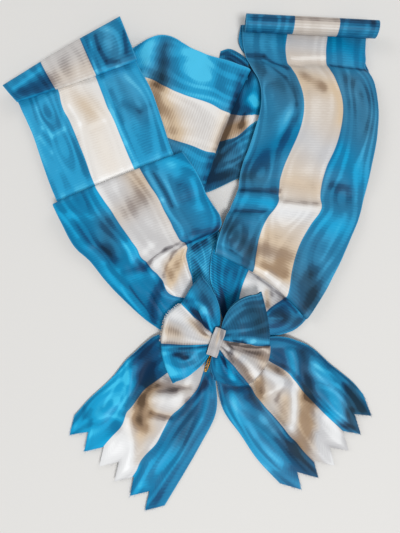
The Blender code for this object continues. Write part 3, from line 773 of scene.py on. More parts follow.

# Fold and crease columns: along and across at each place on the line, width, height
# Shading stroke columns (painted shadows, fold shade and highlights, besides the moiré's own dark and light
# patches), light tint columns (painted warm light on the white, painted dull shade on the azure) and rib
# columns are the same, with a strength in place of the height
# Eye columns: along, across, reach before, reach after, reach across, strength
# Stripe columns: along, white's left edge, its right edge, left selvedge, right selvedge
# A piece's level is painted light and shade: it makes the whole piece lighter or darker, standing in for how
# brightly that piece is lit
underBand = {
    "name": "under_band_ribbon", "node": "under_band", "seed": 3, "held": "folded",
    "restsOn": ["right_folded_layers"],
    "sections": [(11, 157, 0, -1, 58, 0, 0), (38, 155, 0, 13, 59, 0, 0), (54, 156, 0, 38, 70, 0, 2),
        (66, 158, 0, 60, 76, 0, 0)],
    "level": -0.4, "warm": 0.3,
    "stripes": [(0, 36, 59.4), (24, 38.7, 59.4), (34, 43, 59.5), (44, 45.5, 52), (48, 46.5, 50.5)],
    "creases": [(27, 5, 33, 32, 4, -0.8), (25, 76, 45, 96, 5, -0.8), (27, 62, 42, 76, 4, 0.6)],
    "eyes": [(36, 73, 16, 16, 10, 2.4)],
    "toneShadeHighlightStrokes": [(22, 88, 39, 100, 6, -0.9), (22, 74, 29, 69, 4, -0.6), (35, 64, 44, 85, 1.5, 0.5),
        (31, 82, 41, 93, 1.5, 0.4), (24, 69, 31, 67, 1.5, 0.4), (29, 46, 38, 56, 4, -0.3),
        (42, 46, 46, 50, 3, 0.9), (35, 42, 35, 52, 1.6, -0.9), (39, 29, 45, 36, 4, 1),
        (33, 13, 42, 25, 4, -0.5), (38, 39, 46, 42, 3, -0.4), (28, 54, 36, 49, 5, -0.2),
        (24, 11, 26, 34, 2.6, -1), (26, 34, 22, 61, 2.6, -1.7), (22, 61, 19, 90, 2.4, -0.8),
        (38, 15, 44, 35, 3.5, 0.8), (24, 95, 38, 97, 3, 0.5), (37, 28, 45, 41, 3.5, 0.6),
        (43, 51, 42, 67, 3.5, 0.8), (26, 0, 28, 8, 2.5, -1), (33, 48, 37, 55, 3, -0.4),
        (22, 0, 30, 6, 3.5, -0.9)],
    "lightTintShare": [(26, 52, 35, 52, 6, 0.9), (21, 66, 42, 98, 12, 0.6), (37, 26, 46, 38, 8, -0.5)],
}
backCorner = {
    "name": "back_corner_ribbon", "node": "back_corner", "seed": 4, "held": "folded",
    "restsOn": ["under_band_ribbon"],
    "sections": [(23, 167, 0, 20, 150, 0, 0), (30, 168, 0, 30, 148, 0, 1), (44, 159, 0, 43, 143, 0, 0)],
    "level": -0.15,
    "creases": [(5, 21, 20, 37, 4, -0.8)],
    "eyes": [(13, 31, 8, 8, 8, 1)],
    "toneShadeHighlightStrokes": [(4, 19, 22, 40, 6, -0.8), (9, 13, 17, 22, 1.6, 0.5), (7, 40, 22, 67, 3, -0.8)],
    "stripes": [(0, 110, 200, 0, 300)],
}
backBand = {
    "name": "back_band_ribbon", "node": "back_band", "seed": 5, "held": "folded", "turnBack": 12,
    "restsOn": ["left_folded_layers", "under_band_ribbon"],
    "sections": [(-47, 165, 4, -81, 90, 4, 0), (-25, 177, 5, -64, 86, 5, 2), (3, 165, 6, -35, 72, 6, 3),
        (33, 153, 7, -1, 59, 7, 2), (45, 149, 6, 10.5, 61.5, 6, 0, -2.5)],
    "folds": [(22, 4, 34, 90, 8, -1.6), (70, 8, 78, 60, 9, -1.2)],
    "level": 0.4, "warm": 0.2,
    "stripes": [(30, 35.6, 69), (60, 35.3, 68.9), (78, 33.5, 67), (99, 37.5, 70.8)],
    "creases": [(28, 8, 39, 41, 5, -1.6), (19, 8, 25, 31, 4, 1.2), (85, 10, 93, 68, 5, -0.8)],
    "eyes": [(59, 11, 17, 17, 12, 3), (91, 20, 10, 10, 9, 1), (74, 49, 24, 24, 9, 0.6)],
    "toneShadeHighlightStrokes": [(15, 4, 24, 32, 5, 0.9), (29, 9, 39, 35, 6, -1.35), (40, 9, 48, 26, 5, -0.2),
        (56, 5, 66, 15, 11, 1), (78, 7, 82, 20, 5, -0.4), (31, 4, 62, 2, 2, 0.3), (34, 41, 45, 52, 5, -0.7),
        (42, 46, 61, 64, 8, -0.5), (62, 32, 90, 31, 4, 0.2), (66, 46, 85, 60, 12, -0.25),
        (96, 22, 96, 33, 1.8, -0.5), (54, 51, 68, 75, 6, -0.35), (20, 27, 33, 37, 4, -0.7),
        (7, 1, 14, 0, 3, -0.8), (20, 6, 33, 9, 4, 0.5), (94, 8, 97, 34, 2.6, -0.9),
        (96, 41, 96, 68, 2, -0.9), (95, 75, 96, 96, 3.2, -0.9)],
    "lightTintShare": [(34, 38, 61, 65, 12, 1), (93, 37, 95, 68, 6, 0.4), (29, 9, 39, 35, 7, 0.5)],
}
leftUpper = {
    "name": "left_upper_ribbon", "node": "left_upper_panel", "seed": 6, "held": "folded",
    "restsOn": ["left_folded_layers"],
    "sections": [(-135, 134, 1, -45, 168, 6, 0), (-130, 124, 3, -40, 154, 8, 2),
        (-119, 100, 4, -29, 132, 10, 4), (-110, 75, 4, -21, 109, 10, 5), (-101, 52, 4, -13, 86, 9, 3),
        (-95, 40, 4, -7, 74, 8, 1)],
    "folds": [(12, 4, 30, 30, 9, -1.2), (14, 62, 40, 74, 8, -1.4), (46, 34, 84, 44, 9, 1.4),
        (30, 90, 74, 80, 9, 1.2), (52, 10, 76, 22, 8, -1.2)],
    "level": 0.4, "warm": 0.25, "ribbing": 0.7,
    "stripes": [(16, 34.2, 65.5), (30, 31.5, 63.9), (40, 32.8, 63.4), (50, 33.5, 64.7), (70, 34.5, 66),
        (89, 33.8, 67)],
    "creases": [(24, 37, 45, 37, 3, 0.7), (25, 4, 43, 3, 4, -0.7), (43, 3, 90, 3, 5, 0.6),
        (45, 31, 69, 29, 4, -0.5), (24, 68, 85, 73, 3.5, -0.9), (24, 75, 85, 83, 4, 0.8),
        (28, 86, 59, 86, 5, -0.6), (51, 45, 88, 38, 3, 0.5)],
    "eyes": [(26, 18, 26, 9, 8, 2.2), (55, 22, 24, 12, 8, 1.6), (45, 88, 22, 14, 8, 2),
        (81, 84, 20, 14, 7, 1.2), (69, 50, 26, 26, 9, 1.4)],
    "toneShadeHighlightStrokes": [(20, 12, 36, 10, 44, 15, 44, 26, 2, 0.5), (44, 26, 31, 31, 2, 0.35),
        (27, 16, 37, 21, 6, -0.35), (41, 5, 55, 10, 2, 0.5), (55, 10, 69, 11, 2, 0.3),
        (55, 33, 78, 30, 4, -0.4), (55, 16, 70, 13, 5, 0.2), (19, 1, 73, 2, 2, 0.2),
        (19, 70, 45, 66, 70, 68, 88, 71, 1.8, 0.5), (28, 72, 54, 72, 2.5, -0.45), (23, 88, 36, 89, 6, 0.35),
        (42, 77, 52, 86, 3, -0.45), (52, 86, 50, 94, 3, -0.3), (60, 90, 85, 95, 4, -0.3),
        (28, 37, 45, 39, 1.8, 0.5), (45, 39, 83, 35, 1.5, 0.45), (50, 46, 49, 59, 2, 0.35),
        (60, 51, 79, 53, 9, 0.2), (21, 43, 38, 52, 8, -0.2), (88, 6, 88, 32, 3, 0.3),
        (89, 35, 89, 66, 3, 0.5), (88, 69, 89, 96, 3, 0.3), (33, 48, 81, 51, 9, -0.15)],
    "lightTintShare": [(16, 40, 41, 54, 10, 0.3), (23, 82, 51, 87, 10, 0.4), (33, 48, 81, 51, 10, 0.3)],
}
leftTuck = {
    "name": "left_tuck_ribbon", "node": "left_lower_tuck", "seed": 7, "held": "folded",
    "restsOn": ["left_folded_layers"],
    "sections": [(-23, 11, 1, 19, 41, 3, 0), (-10, -1, 1, 23, 22, 2, 0), (1, -20, 0.5, 24, 5, 1, 0),
        (9, -37, 0.5, 21, -24, 1, 0)],
    "level": 0.6, "ribbing": 4,
    "stripes": [(0, 110, 200, 0, 300)],
    "creases": [(10, 52, 26, 42, 4, -0.8), (11, 71, 32, 58, 4, 0.7), (18, 29, 43, 3, 3, -0.6)],
    "eyes": [(18, 52, 14, 14, 10, 2)],
    "toneShadeHighlightStrokes": [(10, 45, 13, 92, 4, -1.2), (21, 39, 44, 40, 6, -0.7), (14, 34, 29, 15, 2, 0.5),
        (51, 75, 61, 56, 3.5, -0.9), (11, 77, 18, 89, 3, 0.9)],
}
leftLower = {
    "name": "left_lower_ribbon", "node": "left_lower_panel", "seed": 8, "held": "folded", "turnBack": 10,
    "restsOn": ["left_upper_ribbon", "left_tuck_ribbon"],
    "sections": [(-21, -48, 1, 7, -37, 2, 1), (-35, -38, 1, 3, -23, 3, 3), (-51, -23, 2, 2, -9, 5, 4),
        (-65, -8, 3, 0, 17, 8, 5), (-76, 6, 4, 22, 31, 10, 6), (-88, 18, 5, 12, 54, 12, 6),
        (-97, 36, 7, 4, 71, 13, 4), (-103, 49, 8, -6, 86, 13, 2)],
    "folds": [(13, 50, 37, 22, 8, 1.5), (41, 62, 53, 34, 7, -1.6), (47, 22, 85, 8, 9, 1.8),
        (79, 50, 107, 30, 10, -1.8)],
    "warm": 0.05, "ribbing": 0.6,
    "stripes": [(18, 92, 99, 0, 131), (26, 67, 98, 0, 130), (41, 61.5, 98, 0, 126), (56, 51, 95, 0, 114),
        (65, 41.5, 81.5, 0, 104), (72, 38, 70), (80, 36.3, 66.6), (88, 37.1, 68), (105, 36.8, 68.9),
        (116, 35, 67.4), (130, 33.9, 67.5)],
    "creases": [(104, 39, 56, 53, 5, 0.8), (82, 11, 26, 15, 6, -1.5), (87, 26, 25, 45, 5, 1.5),
        (111, 8, 58, 18, 5, -0.9), (113, 18, 70, 10, 6, -1.3), (58, 49, 67, 78, 3, -1),
        (50, 53, 56, 90, 3, 1), (45, 59, 51, 95, 2.5, -0.8), (32, 57, 46, 98, 3, 0.8),
        (118, 82, 96, 79, 4, -0.7), (107, 71, 69, 81, 4, 0.9), (118, 96, 90, 94, 5, 0.7),
        (30, 39, 13, 35, 4, -1.8)],
    "eyes": [(123, 18, 16, 16, 8, 2), (110, 94, 24, 16, 9, 2.6), (88, 23, 22, 22, 8, 2),
        (111, 51, 20, 20, 8, 1)],
    "toneShadeHighlightStrokes": [(125, 19, 116, 19, 6, -0.3), (116, 8, 109, 22, 3, 0.4), (125, 33, 109, 32, 6, 0.5),
        (118, 7, 69, 8, 14, 6, 2, 0.3), (83, 17, 71, 17, 6, -0.7), (107, 8, 95, 11, 5, -0.4),
        (78, 32, 67, 35, 4, 0.8), (46, 25, 35, 44, 6, 0.2), (44, 10, 13, 1, 2, 0.5),
        (43, 22, 14, 16, 2, -0.4), (123, 45, 124, 51, 5, 0.2), (91, 56, 81, 60, 8, 0.3),
        (69, 45, 73, 48, 4, 0.4), (53, 59, 59, 73, 2, 0.5), (41, 71, 50, 91, 5, -0.3),
        (125, 70, 103, 71, 76, 72, 1.6, 0.6), (123, 74, 96, 75, 1.6, -0.45), (123, 77, 95, 79, 1.6, 0.45),
        (124, 88, 116, 88, 5, 0.8), (111, 89, 97, 89, 5, -0.8), (111, 96, 89, 92, 2.5, 0.5),
        (89, 89, 80, 89, 6, 0.3), (75, 78, 74, 95, 3, -0.5), (116, 47, 77, 55, 14, -0.2),
        (104, 47, 110, 58, 8, -0.45), (129, 60, 123, 63, 8, -0.25), (57, 22, 45, 52, 5, 0.4),
        (65, 82, 73, 99, 3, -1.1), (40, 73, 49, 92, 4.5, -0.35), (56, 54, 66, 62, 69, 72, 2, -0.5),
        (42, 65, 53, 78, 2.2, -0.5), (53, 78, 60, 83, 2, -0.4), (50, 61, 58, 72, 2.5, 0.3),
        (57, 93, 36, 95, 1, 0.6), (36, 61, 26, 70, 1.2, 0.7), (103, 30, 79, 18, 6, -0.6),
        (37, 58, 11, 8, 4, -0.9), (56, 24, 53, 49, 4, -0.9), (120, 3, 100, 6, 1.5, 0.4),
        (56, 54, 64, 65, 3, -0.4), (64, 65, 66, 77, 2.6, -0.4), (86, 21, 112, 23, 4, 0.25),
        (61, 66, 57, 84, 3, -0.5)],
    "lightTintShare": [(130, 61, 123, 62, 8, 0.6), (104, 45, 111, 59, 8, 0.3), (45, 76, 51, 92, 9, 0.9),
        (117, 75, 85, 76, 12, 0.5), (35, 68, 53, 91, 5, 0.8), (103, 30, 79, 18, 8, 0.6)],
}
rightLower = {
    "name": "right_lower_ribbon", "node": "right_lower_panel", "seed": 9, "held": "folded",
    "restsOn": ["right_folded_layers", "left_tuck_ribbon"],
    "sections": [(18, 21, 2, 94, -22, 2, 0), (15, 5, 2, 88, -38, 2, 1), (16, -12, 2, 75, -48, 2, 3),
        (21, -25, 2, 62, -51, 2, 2), (25, -40, 2, 48, -54, 2, 1)],
    "warm": 0, "ribbing": 0.7,
    "stripes": [(0, 38, 80), (10, 35.7, 74.8), (23, 34, 66.5), (40, 35.5, 64.5)],
    "creases": [(18, 0, 36, 0, 3, 0.9), (35, 15, 54, 15, 5, -1.6), (8, 42, 11, 65, 3, -0.7),
        (13, 21, 25, 29, 5, 0.6)],
    "eyes": [(29, 79, 12, 12, 9, 2.4), (22, 19, 16, 16, 9, 2.4)],
    "toneShadeHighlightStrokes": [(17, 0, 29, 0, 1.4, 0.8), (30, 0, 37, 6, 1.4, 0.6), (43, 7, 50, 11, 6, -1.3),
        (19, 4, 14, 30, 5, -0.3), (20, 32, 39, 26, 4, -0.5), (8, 47, 8, 60, 2, -0.5),
        (13, 61, 14, 62, 2.5, -0.9), (17, 37, 13, 52, 4, 0.3), (16, 74, 33, 86, 7, -0.6),
        (31, 72, 26, 82, 1.2, 0.5), (3, 81, 10, 91, 3, 0.8), (7, 38, 11, 73, 1.5, -0.7),
        (8, 55, 28, 50, 9, 0.35), (26, 76, 22, 95, 6, -0.6), (6, 79, 16, 95, 1.8, 0.8),
        (12, 74, 16, 89, 1.3, -0.8), (32, 14, 54, 3, 4, -1), (18, 34, 20, 43, 5, 0.6),
        (15, 57, 23, 63, 2.2, -0.5), (23, 59, 25, 69, 4, -0.35)],
    "lightTintShare": [(26, 76, 22, 95, 7, 0.7), (15, 57, 23, 63, 3, 0.7)],
    "ribs": [(16, 1, 38, 11, 14, 3.2)],
}
rightUpper = {
    "name": "right_upper_ribbon", "node": "right_upper_panel", "seed": 10, "held": "folded", "turnBack": 14,
    "restsOn": ["right_folded_layers", "right_lower_ribbon"],
    "sections": [(39, 185, 3.6, 133, 180, 3.6, 0), (40, 168, 4, 132, 162, 4, 2),
        (44, 155, 5, 133, 151, 5, 4), (51, 142, 7, 137, 140, 7, 7), (53, 123, 8, 140, 120, 8, 9),
        (47, 100, 8, 139, 99, 8, 9), (39, 78, 7, 135, 76, 7, 8), (35, 58, 6, 129, 47, 6, 5),
        (27, 40, 6, 120, 23, 6, 6, -1), (20, 22, 6, 103, -13, 6, 4, -4), (18, 11, 6, 87, -38, 6, 1, -6)],
    "folds": [(19, 0, 27, 100, 7, -2), (115, 0, 123, 48, 7, -2.4), (125, 50, 127, 100, 8, -2),
        (133, 6, 145, 40, 7, 1.6), (65, 18, 101, 24, 12, 1.4), (55, 80, 97, 78, 12, 1.4)],
    "warm": 0.5, "ribbing": 0.6,
    "stripes": [(5, 36.6, 68.8), (27, 33, 65.9), (44, 31.5, 62.9), (63, 33.9, 65.7), (81, 35.2, 66.7),
        (100, 33, 65.6), (112, 31.5, 63.2), (130, 31.2, 63.7), (142, 33.9, 67.6), (155, 31.1, 64.6),
        (174, 31.3, 63), (190, 34.2, 67), (205, 36.8, 73.8)],
    "creases": [(21, 1, 22, 99, 4, 0.8), (26, 0, 31, 42, 4, -1.4), (29, 43, 28, 98, 5, -0.9),
        (132, 0, 135, 33, 3, -1.6), (136, 33, 135, 66, 3.5, -1.1), (124, 4, 127, 30, 4, 0.7),
        (153, 1, 152, 24, 3, -1.4), (143, 14, 146, 33, 4, 0.8), (143, 39, 142, 67, 5, 0.6),
        (129, 78, 133, 83, 7, -1.8), (173, 73, 181, 98, 7, -1), (173, 2, 203, 22, 8, -1.2),
        (184, 37, 186, 61, 7, -0.8), (98, 0, 111, 25, 6, -0.8), (39, 6, 70, 12, 6, -0.8),
        (38, 82, 61, 83, 5, -0.7), (143, 75, 147, 94, 6, 0.8)],
    "eyes": [(56, 7, 12, 44, 8, 2.6), (59, 78, 14, 40, 8, 2.2), (116, 16, 12, 10, 8, 1.8),
        (130, 80, 10, 10, 9, 1.2), (149, 43, 8, 8, 11, 2), (107, 40, 16, 14, 9, 1.2),
        (182, 14, 18, 18, 9, 2.2), (173, 82, 20, 16, 9, 1.6), (71, 39, 30, 30, 10, 0.8)],
    "toneShadeHighlightStrokes": [(11, 6, 14, 30, 6, 0.2), (23, 1, 24, 15, 36, 28, 2, -0.8), (33, 5, 56, 25, 8, -0.35),
        (29, 13, 45, 22, 1.5, -0.5), (62, 8, 76, 17, 7, 0.3), (78, 0, 105, 1, 3, 0.5),
        (93, 23, 78, 27, 3, -0.4), (120, 5, 113, 15, 5, -0.5), (134, 3, 132, 31, 2.5, -0.9),
        (143, 6, 143, 28, 5, 0.5), (152, 5, 150, 27, 1.8, -0.9), (169, 4, 187, 28, 9, -0.9),
        (198, 21, 199, 31, 5, -0.5), (155, 27, 172, 33, 2.5, 0.4), (191, 4, 198, 33, 2, 0.3),
        (25, 38, 23, 65, 1.8, 0.5), (44, 38, 53, 51, 6, -0.6), (58, 39, 54, 50, 5, -0.3),
        (57, 63, 76, 65, 2.5, -0.15), (91, 43, 93, 60, 10, -0.15), (107, 42, 106, 58, 6, -0.2),
        (126, 36, 125, 61, 6, -0.25), (141, 38, 139, 64, 2, -0.7), (144, 37, 142, 64, 3, 0.4),
        (151, 39, 148, 56, 8, 0.35), (170, 38, 168, 55, 5, -0.25), (182, 41, 181, 60, 7, -0.75),
        (30, 70, 32, 99, 2, -0.8), (47, 74, 57, 90, 7, -0.4), (65, 74, 81, 90, 6, -0.3),
        (100, 73, 114, 92, 8, 0.3), (124, 71, 125, 85, 3, -0.6), (150, 77, 151, 89, 9, 0.6),
        (168, 76, 172, 90, 7, -0.2), (186, 82, 193, 92, 7, -0.8), (201, 92, 196, 96, 5, -0.7),
        (176, 86, 174, 92, 4, 0.2), (98, 89, 132, 94, 2, 0.3), (143, 88, 176, 86, 2, 0.3),
        (45, 22, 67, 28, 1.8, -0.35), (67, 28, 82, 32, 1.8, -0.25), (103, 12, 93, 23, 9, -0.55),
        (190, 81, 193, 86, 6, -0.4), (201, 37, 200, 48, 1.6, 0.7), (200, 48, 201, 61, 2, 0.8),
        (200, 63, 202, 72, 3.5, 0.3), (196, 42, 195, 62, 4.5, -0.7), (128, 80, 130, 89, 6, -0.3),
        (95, 20, 73, 23, 4, 0.5), (110, 4, 131, 7, 5, -0.35), (132, 23, 154, 26, 5, -0.15),
        (189, 55, 192, 67, 4.5, -0.4), (184, 10, 195, 13, 2.5, -0.6), (120, 78, 125, 85, 4, 0.4)],
    "lightTintShare": [(10, 38, 13, 68, 9, -0.5), (46, 34, 53, 53, 9, 0.4), (55, 63, 78, 66, 5, 0.5),
        (88, 36, 107, 64, 11, -0.45), (122, 38, 127, 61, 8, 0.3), (149, 38, 148, 58, 8, -0.5),
        (171, 36, 181, 62, 11, 0.4), (200, 52, 201, 67, 5, -0.4), (36, 2, 60, 23, 11, 0.5),
        (47, 76, 82, 88, 12, 0.5), (9, 75, 19, 95, 8, -0.5), (101, 13, 93, 25, 9, -0.5),
        (100, 70, 119, 92, 9, -0.4), (121, 3, 124, 17, 7, 0.5), (169, 4, 193, 30, 11, 0.5),
        (151, 75, 153, 91, 9, -0.4), (188, 81, 197, 99, 10, 0.5), (143, 6, 143, 28, 5, -0.4),
        (196, 42, 195, 62, 6, 0.5), (189, 55, 192, 67, 5, 0.4)],
}
leftTail = {
    "name": "left_tail_ribbon", "node": "left_tail", "seed": 11, "held": "laid", "toothed": True,
    "restsOn": ["left_lower_ribbon"],
    "fray": {"from": 0, "to": 100, "spacing": 0.9, "length": 1.5, "thickness": 0.2, "spread": 0.5},
    "sections": [(3, -51, 3, 13, -64, 3, 0), (-19, -49, 2, 17, -72, 3, 2), (-43, -64, 1, 19, -86, 2, 4),
        (-61, -84, 0, 19, -110, 1, 5), (-76, -98, 0, 7, -135, 0, 5), (-89, -112, 0, -20, -181, 0, 2)],
    "folds": [(20, 30, 78, 22, 7, -2.2), (24, 60, 70, 52, 8, 2.2), (30, 84, 90, 80, 8, -1.8),
        (84, 14, 112, 20, 8, 1.8)],
    "level": -0.1, "warm": 0.05, "ribbing": 0.4,
    "stripes": [(24, 54, 83.3), (39, 43, 80), (55, 31.8, 69.5), (70, 32.3, 64.6), (78, 32.1, 65.5),
        (89, 35.4, 66.8), (103, 34, 64), (112, 33.1, 65.6)],
    "creases": [(37, 6, 77, 32, 3, 1.4), (25, 14, 60, 32, 7, -1.4), (77, 34, 87, 55, 5, -1.3),
        (51, 41, 42, 70, 4, -1.4), (60, 41, 49, 69, 4, 1.3), (73, 48, 65, 65, 4, -1),
        (56, 72, 68, 66, 3, -0.9), (26, 86, 36, 94, 4, -1.1), (108, 33, 90, 37, 4, 0.7),
        (71, 21, 99, 11, 4, 0.8), (69, 12, 110, 12, 4, -0.6), (85, 71, 45, 78, 5, 0.7),
        (102, 80, 66, 81, 5, -0.6)],
    "eyes": [(79, 16, 26, 20, 9, 2), (81, 83, 30, 30, 9, 1.8), (99, 61, 22, 22, 9, 1)],
    "toneShadeHighlightStrokes": [(27, 7, 44, 31, 8, -1.1), (46, 23, 60, 35, 7, -1.1), (48, 41, 43, 72, 3.2, -0.9),
        (61, 39, 78, 50, 2.5, 0.3), (69, 48, 69, 65, 2, -0.8), (57, 45, 56, 62, 6, 0.35),
        (33, 69, 53, 62, 4, 0.4), (84, 36, 108, 59, 2.2, 0.6), (105, 38, 110, 48, 5, 0.3),
        (36, 88, 52, 71, 4, -0.9), (38, 96, 44, 95, 2, 0.5), (49, 82, 60, 77, 4, -0.2),
        (61, 76, 80, 84, 8, -0.6), (87, 83, 98, 78, 6, 0.5), (73, 66, 94, 65, 1.8, 0.4),
        (101, 71, 110, 77, 3, 0.4), (102, 82, 110, 94, 4, -0.3), (110, 75, 113, 81, 3, 0.4),
        (63, 91, 92, 92, 2, 0.25), (41, 27, 25, 22, 7, -0.5), (72, 18, 77, 27, 3, 0.7),
        (46, 3, 55, 6, 1.3, 0.5), (58, 7, 83, 14, 1.4, 0.5), (60, 6, 89, 7, 1.4, 0.3),
        (100, 15, 90, 21, 2, 0.4), (88, 22, 85, 32, 1.8, 0.5), (98, 23, 92, 32, 5, -0.2),
        (112, 7, 102, 9, 1.8, 0.5), (96, 1, 101, 6, 3, -0.3), (100, 13, 112, 16, 1.8, -0.35),
        (111, 19, 114, 23, 2, 0.45), (113, 40, 102, 42, 7, 0.55), (110, 59, 103, 47, 6, 0.55),
        (90, 40, 97, 43, 4, 0.3), (58, 10, 106, 18, 14, 0.75), (39, 3, 54, 15, 2.6, 0.9),
        (59, 16, 71, 25, 2.2, 0.6), (100, 27, 112, 30, 6, 0.3), (25, 93, 38, 86, 3.5, -0.7),
        (52, 45, 48, 59, 2, -0.6), (40, 45, 41, 50, 3, -0.5), (72, 49, 71, 61, 2.5, -0.5),
        (56, 31, 60, 42, 4, 0.6), (41, 69, 46, 74, 4, 0.6), (102, 80, 105, 87, 4, 0.3),
        (61, 32, 81, 47, 7, -0.35), (53, 43, 42, 70, 2.5, -0.35), (84, 28, 88, 35, 4, 0.4),
        (53, 36, 66, 39, 6, -0.35), (66, 39, 79, 44, 6.5, -0.35), (79, 44, 84, 55, 5.5, -0.4)],
    "lightTintShare": [(48, 41, 43, 70, 5, 0.3), (69, 48, 68, 63, 4, 0.5), (91, 52, 103, 63, 5, 0.5),
        (61, 76, 80, 84, 10, 0.5), (53, 36, 72, 41, 9, 0.8), (79, 45, 84, 55, 8, 0.7),
        (113, 40, 109, 56, 10, -0.4), (61, 32, 81, 47, 8, 0.4)],
}
rightTail = {
    "name": "right_tail_ribbon", "node": "right_tail", "seed": 12, "held": "laid", "toothed": True,
    "restsOn": ["right_lower_ribbon"],
    "fray": {"from": 0, "to": 100, "spacing": 0.9, "length": 1.5, "thickness": 0.2, "spread": 0.5},
    "sections": [(19, -73, 3, 36, -57, 3, 0), (20, -86, 3, 62, -51, 3, 2), (24, -105, 1, 85, -56, 2, 4),
        (39, -128, 0, 109, -75, 1, 5), (52, -147, 0, 124, -87, 0, 5, 2), (68, -164, 0, 132, -96, 0, 2, 7)],
    "folds": [(18, 40, 84, 46, 7, 2.2), (20, 64, 80, 72, 7, -2.2), (30, 20, 90, 16, 8, -1.8),
        (60, 88, 104, 84, 8, 1.8)],
    "level": -0.25, "warm": 0.2, "ribbing": 0.4,
    "stripes": [(32, 35, 65.1), (45, 32.5, 67.6), (66, 33, 66), (83, 33.9, 65.5), (107, 32.4, 66.7)],
    "creases": [(35, 87, 53, 71, 3, 1.5), (30, 79, 69, 70, 6, -1.4), (51, 56, 84, 35, 5, 1.6),
        (66, 65, 90, 37, 6, -1.4), (35, 52, 50, 35, 5, -1), (39, 32, 77, 34, 4, -1.3),
        (36, 9, 74, 22, 6, 1.1), (83, 29, 105, 29, 6, -1), (20, 7, 39, 35, 4, -1.5),
        (68, 92, 90, 85, 6, 0.9), (67, 80, 90, 73, 5, -0.7)],
    "eyes": [(84, 79, 22, 22, 9, 2.4), (76, 13, 30, 26, 9, 2), (97, 48, 20, 20, 9, 1.2)],
    "toneShadeHighlightStrokes": [(25, 10, 37, 32, 3, -0.7), (35, 12, 53, 10, 5, 0.5), (37, 2, 94, 2, 2.2, 0.6),
        (90, 27, 104, 25, 5, -0.8), (59, 10, 94, 12, 3, 0.4), (83, 13, 91, 10, 5, 0.35),
        (97, 10, 107, 13, 4, 0.6), (73, 9, 98, 7, 1.6, -0.3), (38, 41, 47, 36, 4, -0.5),
        (36, 54, 48, 58, 4, 0.5), (51, 58, 56, 44, 1.8, -0.5), (49, 41, 66, 43, 5, 0.1),
        (58, 62, 67, 53, 3, 0.9), (86, 63, 98, 61, 6, 0.4), (96, 50, 107, 51, 5, -0.2),
        (95, 40, 106, 37, 5, 0.1), (108, 46, 108, 42, 2, 0.3), (35, 86, 49, 73, 3, 0.8),
        (29, 83, 41, 70, 3, -0.7), (41, 91, 71, 66, 5, -1.1), (71, 66, 86, 65, 3.5, -0.8),
        (56, 91, 74, 86, 6, 0.6), (77, 84, 94, 72, 7, 0.7), (52, 99, 84, 93, 1.8, -0.4),
        (88, 92, 100, 90, 6, -1), (98, 80, 102, 71, 3, -0.7), (43, 100, 62, 100, 3, -0.3),
        (58, 86, 70, 85, 1.5, 0.4), (42, 52, 98, 48, 9, -0.15), (38, 12, 94, 4, 6, 0.4),
        (74, 63, 90, 65, 2.5, 0.3), (69, 63, 81, 53, 6, -0.45), (88, 46, 94, 34, 6, -0.4),
        (70, 50, 79, 39, 3, 0.8), (38, 52, 47, 57, 4, 0.3), (48, 39, 51, 57, 1.4, 0.5),
        (49, 69, 59, 65, 2, 0.6), (57, 51, 69, 37, 6, -0.25), (101, 55, 101, 61, 5, 0.4),
        (99, 44, 106, 44, 6, 0.4), (88, 56, 100, 50, 6, 0.25), (104, 84, 102, 74, 5, -0.7),
        (86, 83, 94, 76, 4.5, 0.5), (51, 89, 64, 93, 1.6, 0.5), (66, 94, 77, 94, 1.6, 0.5),
        (58, 87, 74, 90, 1.6, -0.45), (34, 61, 43, 64, 3, -0.3), (82, 65, 102, 64, 3.5, 0.2),
        (48, 23, 74, 23, 5, 0.7), (55, 85, 64, 83, 4, 0.5), (64, 64, 71, 61, 4, 0.5),
        (49, 53, 57, 51, 3.5, 0.5), (19, 38, 30, 36, 3.5, 0.5), (32, 53, 45, 39, 3, -0.5),
        (26, 79, 41, 62, 4, -0.5), (33, 87, 50, 75, 4, -0.45), (71, 84, 77, 86, 3, -0.4),
        (78, 62, 86, 57, 3, -0.35), (96, 36, 108, 32, 3, -0.3), (60, 26, 87, 25, 5, 0.5),
        (76, 39, 89, 36, 4, -0.3), (44, 27, 57, 24, 5, -0.9), (70, 24, 90, 27, 4.5, -0.9),
        (98, 10, 106, 14, 4, -0.5)],
    "lightTintShare": [(35, 44, 48, 34, 7, 0.8), (68, 64, 84, 50, 7, 0.8), (84, 50, 95, 33, 7, 0.7),
        (60, 50, 71, 39, 6, 0.6), (36, 54, 49, 59, 5, -0.3), (58, 62, 79, 39, 4, -0.4),
        (94, 66, 105, 58, 8, -0.2), (89, 95, 105, 86, 8, 0.7), (42, 92, 74, 65, 8, 0.4),
        (64, 25, 104, 27, 8, 0.4), (88, 56, 106, 53, 10, -0.4), (99, 43, 106, 44, 8, -0.3),
        (34, 61, 45, 65, 4, 0.5), (97, 87, 102, 74, 7, 0.6)],
}
